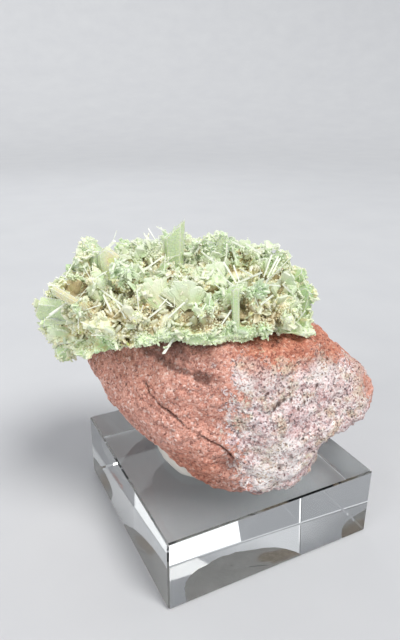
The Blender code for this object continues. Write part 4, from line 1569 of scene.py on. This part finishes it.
@dataclass
class GypsumCrust:
    """The crust of crystals: its knobbly body, and the large, middling and fine crystals that stand on it."""

    workshop: Workshop
    stone: Surface
    node: str = "gypsum_crystals"
    voxel: float = 0.5
    seed: int = 11
    fine_count: int = 11000
    blade_count: int = 2400
    needle_count: int = 300
    plate_count: int = 700
    rosette_count: int = 90
    rosette_blades: int = 26
    small_fan_count: int = 60
    dust_density: float = 1.6
    reach: float = 7.0
    room: float = 0.8
    sight_steps: tuple[float, ...] = (0.0, 1.2, 2.4, 3.6)
    open_ways: int = 14
    tip_hang: float = 0.5
    root_hang: float = 0.8
    solid_needles: tuple[str, ...] = (
        "left_crest", "pair_front", "pair_back", "right_crest", "on_stone", "left_front", "right_front", "back",
    )
    random: np.random.Generator = field(init=False)
    large: list[LargeCrystal] = field(init=False)
    body: Surface = field(init=False)
    facing: np.ndarray = field(init=False)
    openness: np.ndarray = field(init=False)
    stain_and_shade: np.ndarray = field(init=False)
    free: np.ndarray = field(init=False)

    def __post_init__(self) -> None:
        """Starts the crust's own random numbers and makes the body that the crystals stand on."""
        self.random = np.random.default_rng(self.seed)
        self.large = [LargeCrystal(row, number) for number, row in enumerate(LEADERS.values())]
        self.body = self.knobbly(self.workshop.remeshed(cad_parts[self.node], self.voxel, 1))
        self.facing = self.body.normals()
        self.openness = self.measure_openness()
        caves = spotted(self.body.points, CAVES)
        # Painted shade with staining: the less open a point is, the browner it turns, along with the listed spots and
        # the caves.
        stain_and_shade = 1.0 - self.openness + spotted(self.body.points, STAINED_AND_SHADED) + 0.2 * caves
        self.stain_and_shade = np.clip(1.3 * stain_and_shade * (1.0 - 0.7 * self.frill(self.body.points)), 0.0, 1.0)
        clean = np.min([crystal.gap(self.body.points) for crystal in self.large if crystal.row.clean], axis=0)
        dusted = np.min([crystal.gap(self.body.points) for crystal in self.large], axis=0)
        self.free = ease(clean, 0.1, 1.3) * (0.3 + 0.7 * ease(dusted, 0.1, 1.0)) * ease(caves, 2.6, 0.6)

    def knobbly(self, net: Surface) -> Surface:
        """Breaks the body's skin up into knobs, less so on the clean faces.

        Args:
            net: The body's even net.

        Returns:
            The knobbly net.
        """
        points, facing = net.points, net.normals()
        clean = ease(noise(points, 8.0, 101), 0.1, 0.6)
        knobs = 2.3 * (0.55 - pebbles(points, 4.6, 102)) + 1.1 * (0.5 - pebbles(points, 2.1, 105))
        caves = 2.6 * ease(noise(points, 4.2, 107) + 0.3 * noise(points, 1.7, 108), 0.3, 0.75)
        rise = (1.0 - 0.7 * clean) * (knobs - caves + 0.25 * noise(points, 0.9, 106)) - 0.3
        rise *= 1.0 - 0.6 * self.frill(points)
        rise -= spotted(points, FLATTENED)
        rise -= spotted(points, CAVES) * (1.0 + 0.4 * noise(points, 1.5, 109))
        gaps = [crystal.gap(points) for crystal in self.large]
        gaps += [self.needle_gap(points, LONG_NEEDLES[name]) for name in self.solid_needles]
        under = ease(np.min(gaps, axis=0), 0.9, 0.2)
        rise = rise * (1.0 - under) - 0.6 * under
        worn = points + facing * rise[:, None]
        worn[:, 2] += 0.85 * self.hang(worn)
        return Surface(worn, net.faces)

    def hang(self, points: np.ndarray) -> np.ndarray:
        """How far each point hangs below the crust's rim on the front, and 0 above it."""
        low = np.interp(points[:, 0], *zip(*FRONT_RIM)) + 0.5 * noise(points, 1.6, 103)
        return ease(points[:, 1], -17.0, -20.0) * np.maximum(low - points[:, 2], 0.0)

    def hides(self, points: np.ndarray) -> np.ndarray:
        """Tells which points stand before a clean large crystal, a long needle or the open hollow on the left.

        Args:
            points: The tips of small crystals.

        Returns:
            True for each point that does.
        """
        found = np.zeros(len(points), bool)
        for step in self.sight_steps:
            behind = points + step * VIEW
            for crystal in self.large:
                if crystal.row.clean:
                    found |= crystal.gap(behind) < 0.2
            for needle in LONG_NEEDLES.values():
                found |= self.needle_gap(behind, needle) < 0.25
        for middle, radius in WINDOWS:
            away = points - np.array(middle)
            deep = away @ VIEW
            found |= (deep < 1.0) & (np.linalg.norm(away - deep[:, None] * VIEW, axis=1) < radius)
        return found

    def needle_gap(self, points: np.ndarray, row: Leader) -> np.ndarray:
        """How far each point lies from a long needle's skin.

        Args:
            points: Places on the body.
            row: The needle.

        Returns:
            A distance for each.
        """
        start, way = np.array(row.root), np.array(row.tip) - np.array(row.root)
        share = np.clip((points - start) @ way / (way @ way), 0.35, 1.0)
        return np.linalg.norm(points - start - share[:, None] * way, axis=1) - row.width / 2

    def measure_openness(self) -> np.ndarray:
        """How much of the space in front of each point of the body is free.

        Returns:
            A share for each point, from 0 in a closed hollow to 1 in the open.
        """
        first = len(self.body.points)
        stone_faces = [[corner + first for corner in face] for face in self.stone.faces.tolist()]
        joined = self.body.points.tolist() + self.stone.points.tolist()
        tree = BVHTree.FromPolygons(joined, self.body.faces.tolist() + stone_faces)
        ways = sphere_directions(self.open_ways)
        ahead = self.facing @ ways.T > 0.15
        starts = self.body.points + 0.15 * self.facing
        ray_ways = [Vector(way) for way in ways]
        free = np.zeros(len(starts))
        for row, start in enumerate(starts.tolist()):
            tried = np.flatnonzero(ahead[row])
            clear = sum(tree.ray_cast(start, ray_ways[way], self.reach)[0] is None for way in tried)
            free[row] = clear / max(len(tried), 1)
        return free

    def body_piece(self, finish: bpy.types.Material) -> bpy.types.Object:
        """Makes the crust's body.

        Args:
            finish: Its material.

        Returns:
            The new piece.
        """
        # The frost mark grows with openness: the open knobs turn whiter, partly frost and partly painted light where
        # more light reaches them.
        tip = ease(self.openness, 0.6, 1.0) * 0.8
        marks = np.stack([self.tone(self.body.points), tip, self.stain_and_shade], axis=1)
        return self.workshop.piece("gypsum_crust", self.body, finish, {"growth": marks}, True)

    def tone(self, points: np.ndarray) -> np.ndarray:
        """The place of each point on the finish's scale from green by white to yellow.

        Args:
            points: Places on the crust.

        Returns:
            A share for each.
        """
        wander = 0.48 + 0.3 * noise(points, 7.0, 111) + 0.2 * noise(points, 2.2, 112)
        wander += 0.1 * ease(points[:, 2], 68.0, 60.0) - 0.12 * ease(points[:, 2], 68.0, 74.0)
        wander += spotted(points, CREAMY) * (0.74 - wander)
        wander *= 1.0 - spotted(points, GREENEST)
        return np.clip(wander + 0.9 * self.frill(points) * (0.3 - wander), 0.0, 1.0)

    def frill(self, points: np.ndarray) -> np.ndarray:
        """How far each point belongs to the thin pale rim that lies on the stone."""
        return ease(points[:, 2] + 0.8 * noise(points, 3.0, 113), 57.0, 55.0) * ease(points[:, 0], -30.0, -22.0)

    def spots(self, count: int, density: np.ndarray) -> tuple[np.ndarray, np.ndarray, np.ndarray]:
        """Picks places on the body.

        Args:
            count: How many places.
            density: How crowded each point of the body is.

        Returns:
            The places, the ways that the body looks there, and how much staining and painted shade they carry.
        """
        faces = self.body.faces
        area = np.linalg.norm(self.body.face_normals(), axis=1)
        weight = area * density[faces].mean(axis=1)
        chosen = faces[self.random.choice(len(faces), count, p=weight / weight.sum())]
        shares = self.random.dirichlet((1, 1, 1, 1), count)[..., None]
        place = (self.body.points[chosen] * shares).sum(axis=1)
        facing = unit((self.facing[chosen] * shares).sum(axis=1))
        return place, facing, (self.stain_and_shade[chosen] * shares[..., 0]).sum(axis=1)

    def ways(self, places: np.ndarray, facing: np.ndarray, lean: Lean) -> np.ndarray:
        """Picks where the crystals of a group point, so that near ones lean alike.

        Args:
            places: Where they stand.
            facing: The ways that the crust looks there.
            lean: The group's share of each lean.

        Returns:
            Rows of length 1.
        """
        stray = self.random.normal(0, lean.stray, places.shape)
        near = drift(places, lean.clump_size, 120) * 1.8
        ways = unit(lean.out * facing + lean.clump * near + stray)
        flat = np.sum(ways * facing, axis=1) < lean.least
        return np.where(flat[:, None], unit(ways + lean.push * facing), ways)

    def varied_tone(self, places: np.ndarray, spread: float, highest: float = 0.86, shift: float = 0.0) -> np.ndarray:
        """Gives each small crystal the tone of its place, more or less.

        Args:
            places: Where the crystals stand.
            spread: How far their tones differ.
            highest: The yellowest tone.
            shift: What is added to all of them.

        Returns:
            A tone for each.
        """
        return np.clip(self.tone(places) + shift + self.random.normal(0, spread, len(places)), 0, highest)

    def grown(
        self, habit: Habit, places: np.ndarray, ways: np.ndarray, length: np.ndarray, slimness: tuple[float, float]
    ) -> Crystals:
        """Grows crystals from places along ways.

        Args:
            habit: Their form.
            places: Where they stand.
            ways: Where they point.
            length: How long they are.
            slimness: Their width and thickness as shares of the length.

        Returns:
            The crystals, with no tone and no hollow yet.
        """
        count = len(places)
        vary = self.random.uniform(0.7, 1.35, count)
        return Crystals(
            habit,
            places - ways * (0.3 * length)[:, None],
            places + ways * length[:, None],
            slimness[0] * length * vary,
            slimness[1] * length * vary,
            self.random.uniform(0, math.pi, count),
            self.random.uniform(-0.8, 0.8, count),
            self.random.uniform(0.5, 1.3, count),
            np.zeros(count),
            np.zeros(count),
        )

    def fine(self) -> Crystals:
        """Grows the sugar of small crystals that coats the body.

        Returns:
            The crystals.
        """
        crowd = 0.15 + ease(noise(self.body.points, 6.0, 130), -0.5, 0.3)
        density = ease(self.openness, 0.1, 0.45) * crowd * self.free
        place, facing, stain_and_shade = self.spots(self.fine_count, density)
        ways = self.ways(place, facing, Lean(0.9, 0.35, 4.0, 0.4, 0.1))
        size = ease(noise(place, 7.0, 131), -0.6, 0.7)
        length = (0.35 + 0.4 * size) * self.random.uniform(0.6, 1.5, len(place))
        made = self.grown(Habit.GRAIN, place, ways, length, (0.95, 0.6))
        made.tone = self.varied_tone(place, 0.12, 1.0)
        made.hollow = stain_and_shade
        return made

    def dust(self) -> Crystals:
        """Grows the grains that coat the large crystals in patches, apart from the clean ones.

        Returns:
            The grains.
        """
        places, facings = [], []
        for crystal in self.large:
            surface = crystal.build()[0]
            facing = surface.face_normals()
            area = np.linalg.norm(facing, axis=1) / 2
            count = 0 if crystal.row.clean else int(self.dust_density * area.sum())
            chosen = self.random.choice(len(area), count, p=area / area.sum())
            shares = self.random.dirichlet((1, 1, 1), count)[..., None]
            place = (surface.points[surface.faces[chosen]] * shares).sum(axis=1)
            upper = (place - np.array(crystal.row.root)) @ crystal.axes()[0] > UPPER * crystal.length()
            places.append(place[upper])
            facings.append(unit(facing[chosen])[upper])
        place, facing = np.concatenate(places), np.concatenate(facings)
        cover = noise(place, 2.6, 135) + 0.4 * noise(place, 1.1, 136)
        patch = cover > self.random.uniform(-0.7, 0.3, len(place))
        place, facing = place[patch], facing[patch]
        ways = self.ways(place, facing, Lean(1.0, 0.4, 4.0, 0.35))
        length = np.minimum(self.random.gamma(3.0, 0.2, len(place)) + 0.2, 1.5)
        made = self.grown(Habit.GRAIN, place, ways, length, (1.0, 0.6))
        made.tone = self.varied_tone(place, 0.12, 1.0)
        return made

    def middling(self) -> Crystals:
        """Grows the blades of 1 to 2.4 mm that stand in tufts.

        Returns:
            The blades.
        """
        tufts = ease(noise(self.body.points, 5.0, 140), -0.1, 0.5)
        density = self.free * ease(self.openness, 0.25, 0.6) * tufts
        density *= 1.0 - 0.8 * self.frill(self.body.points)
        place, facing, stain_and_shade = self.spots(self.blade_count, density)
        ways = self.ways(place, facing, Lean(0.8, 0.6, 7.0, 0.3, 0.25))
        length = np.minimum(self.random.gamma(4.0, 0.3, len(place)) + 0.5, 2.4)
        made = self.grown(Habit.BLADE, place, ways, length, (0.75, 0.32))
        made.tone = self.varied_tone(place, 0.13)
        made.hollow = stain_and_shade
        return made

    def plates(self) -> Crystals:
        """Grows broad plates, as wide as they are long, that lie at every slant.

        Returns:
            The plates.
        """
        density = self.free * ease(self.openness, 0.35, 0.65) * (1.0 - 0.9 * self.frill(self.body.points))
        place, facing, stain_and_shade = self.spots(self.plate_count, density)
        ways = self.ways(place, facing, Lean(0.7, 0.5, 9.0, 0.4, 0.2))
        length = self.random.uniform(1.2, 3.4, len(place))
        made = self.grown(Habit.BLADE, place, ways, length, (1.0, 0.3))
        made.tone = self.varied_tone(place, 0.13, shift=-0.05)
        made.hollow = stain_and_shade * 0.8
        return made

    def rosettes(self) -> Crystals:
        """Grows round tufts of fine blades that spread from one point.

        Returns:
            The blades of all tufts.
        """
        density = self.free * ease(self.openness, 0.35, 0.7) * (1.0 - self.frill(self.body.points))
        place, facing, stain_and_shade = self.spots(self.rosette_count, density)
        place = np.concatenate([place, RIM_TUFTS])
        facing = np.concatenate([facing, np.tile([[0.0, -0.6, 0.8]], (len(RIM_TUFTS), 1))])
        stain_and_shade = np.concatenate([stain_and_shade, np.zeros(len(RIM_TUFTS))])
        size = self.random.uniform(0.9, 2.0, len(place))
        count = self.rosette_blades
        ways = unit(self.random.normal(0, 1, (len(place), count, 3)) + 0.75 * facing[:, None])
        roots = np.repeat(place - facing * (0.4 * size)[:, None], count, axis=0)
        length = (size[:, None] * self.random.uniform(0.75, 1.15, (len(place), count))).ravel()
        made = self.grown(Habit.GRAIN, roots, ways.reshape(-1, 3), length, (0.42, 0.22))
        made.root = roots
        made.tone = np.repeat(self.tone(place), count) + self.random.normal(0, 0.06, len(roots))
        made.hollow = np.repeat(stain_and_shade, count) * 0.7
        return made

    def loose_needles(self) -> Crystals:
        """Grows thin white needles that lie across the crust at every slant.

        Returns:
            The needles.
        """
        density = ease(self.openness, 0.45, 0.8) * ease(noise(self.body.points, 9.0, 160), -0.3, 0.4)
        density *= ease(self.body.points[:, 2], 52.0, 57.0)
        place, facing, _ = self.spots(self.needle_count, density)
        ways = self.ways(place, facing, Lean(0.45, 0.5, 9.0, 0.6, 0.0, 0.8))
        length = self.random.uniform(2.0, 6.5, len(place))
        made = self.grown(Habit.NEEDLE, place, ways, length, (0.0, 0.0))
        made.width = self.random.uniform(0.16, 0.34, len(place))
        made.thickness = made.width * self.random.uniform(0.6, 1.0, len(place))
        made.root = place - ways * (0.4 * length)[:, None]
        made.tone = self.random.uniform(0.5, 0.75, len(place))
        return made

    def fan(self, fan: Fan) -> Crystals:
        """One fan of blades, side by side and slightly domed.

        Args:
            fan: Its place, spread and bulge.

        Returns:
            Its blades.
        """
        foot, first, last = (np.array(point) for point in fan[:3])
        share = np.linspace(0.0, 1.0, fan.count)[:, None]
        start, end = first - foot, last - foot
        reach = np.linalg.norm(start) * (1.0 - share) + np.linalg.norm(end) * share
        ways = unit(unit(start) * (1.0 - share) + unit(end) * share)
        outward = unit(np.cross(unit(start), unit(end)))
        outward = outward * (-1.0 if outward[1] > 0 else 1.0)
        swell = fan.bulge * np.sin(share * math.pi) * outward
        lengths = reach[:, 0] * self.random.uniform(0.86, 1.08, fan.count)
        spacing = np.linalg.norm(last - first) / fan.count
        made = self.grown(Habit.BLADE, np.repeat(foot[None], fan.count, axis=0), ways, lengths, (0.0, 0.0))
        made.root = foot + ways * (0.12 * lengths)[:, None]
        made.tip = foot + ways * lengths[:, None] + swell
        made.width = spacing * self.random.uniform(2.6, 3.6, fan.count)
        made.thickness = made.width * self.random.uniform(0.3, 0.42, fan.count)
        _, across, through = crystal_axes(made.root, made.tip, np.zeros(fan.count))
        made.turn = np.arctan2(-across @ outward, through @ outward) + self.random.normal(0.0, 0.07, fan.count)
        made.steepness = self.random.uniform(0.3, 0.7, fan.count)
        made.tone = np.clip(self.tone(made.tip) * 0.75 + self.random.normal(0, 0.06, fan.count), 0, 0.86)
        made.hollow = np.full(fan.count, fan.stain_and_shade)
        return made

    def fans(self) -> Crystals:
        """Grows the named fans on the front and many small ones all over the crust.

        Returns:
            The blades of all fans.
        """
        density = self.free * ease(self.openness, 0.4, 0.7) * (1.0 - self.frill(self.body.points))
        place, facing, _ = self.spots(self.small_fan_count, density)
        rows = list(FANS)
        shown = ~self.hides(place + 2.0 * facing)
        for spot, way in zip(place[shown], facing[shown]):
            side = unit(np.cross(way, self.random.normal(0, 1, 3)))
            reach = self.random.uniform(2.0, 4.2)
            foot = spot - 0.8 * way
            first = foot + unit(way + 0.9 * side) * reach
            last = foot + unit(way - 0.7 * side) * reach
            rows.append(Fan(tuple(foot), tuple(first), tuple(last), int(self.random.integers(6, 11)), 0.3))
        parts = [vars(self.fan(row)) for row in rows]
        names = [name for name in parts[0] if name != "habit"]
        return Crystals(Habit.BLADE, **{name: np.concatenate([part[name] for part in parts]) for name in names})

    def long_needles(self) -> Crystals:
        """Grows the long white needles that are named one by one.

        Returns:
            The needles.
        """
        rows = list(LONG_NEEDLES.values())
        names = [name for name in Leader._fields if name != "clean"]
        columns = {name: np.array([getattr(row, name) for row in rows], float) for name in names}
        columns["turn"] = -np.radians(columns["turn"])
        return Crystals(Habit.NEEDLE, hollow=np.full(len(rows), 0.1), **columns)

    def leading_piece(self, finish: bpy.types.Material) -> bpy.types.Object:
        """Makes the large crystals that are named one by one.

        Args:
            finish: Their material.

        Returns:
            The new piece.
        """
        points, faces, marks, count = [], [], [], 0
        for crystal in self.large:
            surface, mark = crystal.build()
            faces.append(surface.faces + count)
            points.append(surface.points)
            marks.append(mark)
            count += len(surface.points)
        joined = Surface(np.concatenate(points), np.concatenate(faces))
        return self.workshop.piece("leading_crystals", joined, finish, {"growth": np.concatenate(marks)}, False)

    def inside(self, crystals: Crystals) -> Crystals:
        """Keeps the crystals whose tips stay near the crust's own box.

        Args:
            crystals: Any crystals.

        Returns:
            Those that stay.
        """
        low, high = (np.array(corner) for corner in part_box(self.node))
        tips, room = self.workshop.axes.to_part(crystals.tip), self.room * MM
        return crystals.kept(np.all((tips > low - room) & (tips < high + room), axis=1))

    def trimmed(self, name: str, crystals: Crystals) -> Crystals:
        """Takes out a piece's crystals that leave the box, hang on the stone or stand before a clean crystal.

        Args:
            name: The piece's name.
            crystals: Its crystals.

        Returns:
            Those that stay.
        """
        crystals = self.inside(crystals)
        if name != "long_needles":
            standing = (self.hang(crystals.tip) < self.tip_hang) & (self.hang(crystals.root) < self.root_hang)
            crystals = crystals.kept(standing)
        if name not in ("long_needles", "fans"):
            crystals = crystals.kept(~self.hides(crystals.tip))
        return crystals

    def build(self) -> list[bpy.types.Object]:
        """Makes the crust and its crystals, which together stand for the node.

        Returns:
            The new pieces.
        """
        crust = GreenGypsum("crust_gypsum", glow=0.3).make()
        frosted = GreenGypsum("frosted_gypsum").make()
        bladed = GreenGypsum("bladed_gypsum", clearness=0.08, frost=0.6, roughness=0.4).make()
        clear = GreenGypsum("clear_gypsum", clearness=0.15, frost=0.8, roughness=0.28, glow=0.5).make()
        white = GreenGypsum("white_needle_gypsum", frost=1.0, roughness=0.3).make()
        groups = {
            "fine_crystals_one": (self.fine(), frosted),
            "fine_crystals_two": (self.fine(), frosted),
            "dusted_leaders": (self.dust(), frosted),
            "middling_blades": (self.middling(), bladed),
            "broad_plates": (self.plates(), bladed),
            "rosettes": (self.rosettes(), frosted),
            "fans": (self.fans(), bladed),
            "loose_needles": (self.loose_needles(), white),
            "long_needles": (self.long_needles(), white),
        }
        pieces = [self.body_piece(crust), self.leading_piece(clear)]
        for name, (crystals, finish) in groups.items():
            crystals = self.trimmed(name, crystals)
            marks = {"growth": crystals.marks()}
            pieces.append(self.workshop.piece(name, crystals.surface(), finish, marks, False))
        for piece in pieces:
            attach(piece, "root")
        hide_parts(self.node)
        return pieces


@dataclass
class Studio:
    """The plain pale floor, which sweeps up all round far off, the soft lights and the camera.

    The floor, the lamps and the camera are set out in metres.
    """

    floor_flat: float = 1.4
    floor_sweep: float = 1.6
    floor_gap: float = 0.3 * MM
    floor_spokes: int = 96
    floor_bends: int = 17
    world_tint: Colour = (0.93, 0.95, 1.0, 1.0)
    world_strength: float = 0.38
    key_tint: Point = (1.0, 0.985, 0.955)
    key_strength: float = 2.55
    key_angle: float = math.radians(24)
    key_way: Point = (0.16, -0.50, 0.76)
    aim: Point = (0.0, 0.0, 0.06)
    camera_place: Point = (-0.08676, -0.15394, 0.14503)
    camera_yaw: float = math.radians(63.1586)
    camera_pitch: float = math.radians(22.036)
    camera_roll: float = math.radians(0.3437)
    lens: float = 31.93
    sensor: float = 36.0

    def floor(self) -> None:
        """Makes the floor, just under the block's lowest point."""
        bends = np.linspace(0.0, math.pi / 2, self.floor_bends)
        reaches = self.floor_flat + self.floor_sweep * np.sin(bends)
        rings = list(zip(reaches, -self.floor_gap + self.floor_sweep * (1.0 - np.cos(bends))))
        spokes = np.linspace(0.0, 2 * math.pi, self.floor_spokes, endpoint=False)
        corners = [(reach * math.cos(way), reach * math.sin(way), up) for reach, up in rings for way in spokes]
        faces = [tuple(range(len(spokes)))]
        for ring, here in itertools.product(range(len(rings) - 1), range(len(spokes))):
            after = (here + 1) % len(spokes)
            low, high = ring * len(spokes), (ring + 1) * len(spokes)
            faces.append((low + here, high + here, high + after, low + after))
        mesh = bpy.data.meshes.new("floor")
        mesh.from_pydata(corners, [], faces)
        mesh.polygons.foreach_set("use_smooth", np.full(len(faces), True))
        mesh.materials.append(PaleFloor().make())
        placed("floor", mesh)

    def hang(self, light: bpy.types.Light, place: Vector, way: Vector) -> None:
        """Hangs a light.

        Args:
            light: The light.
            place: Where it hangs.
            way: Where it shines.
        """
        lamp = placed(light.name, light)
        lamp.location = place
        lamp.rotation_euler = way.to_track_quat("-Z", "Y").to_euler()

    def key(self) -> None:
        """Hangs the broad main light, far off to the upper right of the front."""
        light = bpy.data.lights.new("key_light", "SUN")
        light.energy = self.key_strength
        light.angle = self.key_angle
        light.color = self.key_tint
        self.hang(light, Vector((0.0, 0.0, 0.0)), -Vector(self.key_way))

    def lamp(self, name: str, place: Point, side: float, power: float, tint: Point = (1.0, 1.0, 1.0)) -> None:
        """Hangs a square soft light that looks at the specimen.

        Args:
            name: The lamp's name.
            place: Where it hangs.
            side: The length of its side.
            power: Its power in watts.
            tint: Its colour.
        """
        light = bpy.data.lights.new(name, "AREA")
        light.shape = "SQUARE"
        light.size = side
        light.energy = power
        light.color = tint
        self.hang(light, Vector(place), Vector(self.aim) - Vector(place))

    def lights(self) -> None:
        """Sets the soft room light and the lamps."""
        self.key()
        world = bpy.data.worlds.new("soft_room")
        world.use_nodes = True
        back = world.node_tree.nodes["Background"]
        back.inputs["Color"].default_value = self.world_tint
        back.inputs["Strength"].default_value = self.world_strength
        bpy.context.scene.world = world
        self.lamp("side_light", (0.62, -0.10, 0.40), 0.4, 0.5, (1.0, 0.985, 0.96))
        self.lamp("fill_light", (-0.70, -0.25, 0.40), 0.5, 2.2, (1.0, 0.99, 0.97))
        self.lamp("back_light", (0.15, 0.75, 0.55), 0.5, 0.8)

    def camera(self) -> None:
        """Sets the camera at the photograph's own angle."""
        cos_yaw, sin_yaw = math.cos(self.camera_yaw), math.sin(self.camera_yaw)
        cos_pitch, sin_pitch = math.cos(self.camera_pitch), math.sin(self.camera_pitch)
        ahead = Vector((cos_yaw * cos_pitch, sin_yaw * cos_pitch, -sin_pitch))
        level = Vector((sin_yaw, -cos_yaw, 0.0))
        upright = level.cross(ahead)
        cosine, sine = math.cos(self.camera_roll), math.sin(self.camera_roll)
        right, above = cosine * level + sine * upright, cosine * upright - sine * level
        data = bpy.data.cameras.new("photo_camera")
        data.lens = self.lens
        data.sensor_width = self.sensor
        data.clip_start = 0.005
        data.clip_end = 20.0
        camera = placed("photo_camera", data)
        turned = Matrix((right, above, -ahead)).transposed()
        camera.matrix_world = Matrix.LocRotScale(Vector(self.camera_place), turned, None)
        bpy.context.scene.camera = camera

    def build(self) -> None:
        """Sets up the whole studio."""
        self.floor()
        self.lights()
        self.camera()
        bpy.context.scene.view_settings.view_transform = "Standard"


def report(piece: bpy.types.Object) -> None:
    """Tells the log a piece's name and how many faces it has."""
    log.info("%s: %d faces", piece.name, len(piece.data.polygons))


def main() -> None:
    """Builds the looks in order and reports each piece."""
    logging.basicConfig(level=logging.INFO, format="%(name)s %(message)s")
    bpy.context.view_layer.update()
    workshop = Workshop(SpecimenAxes())
    report(AcrylicBlock().dress())
    report(PuttyPad(workshop).build())
    stone, stone_surface = MatrixStone(workshop).build()
    report(stone)
    for piece in GypsumCrust(workshop, stone_surface).build():
        report(piece)
    Studio().build()
    bpy.context.view_layer.update()


if __name__ == "__main__":
    main()
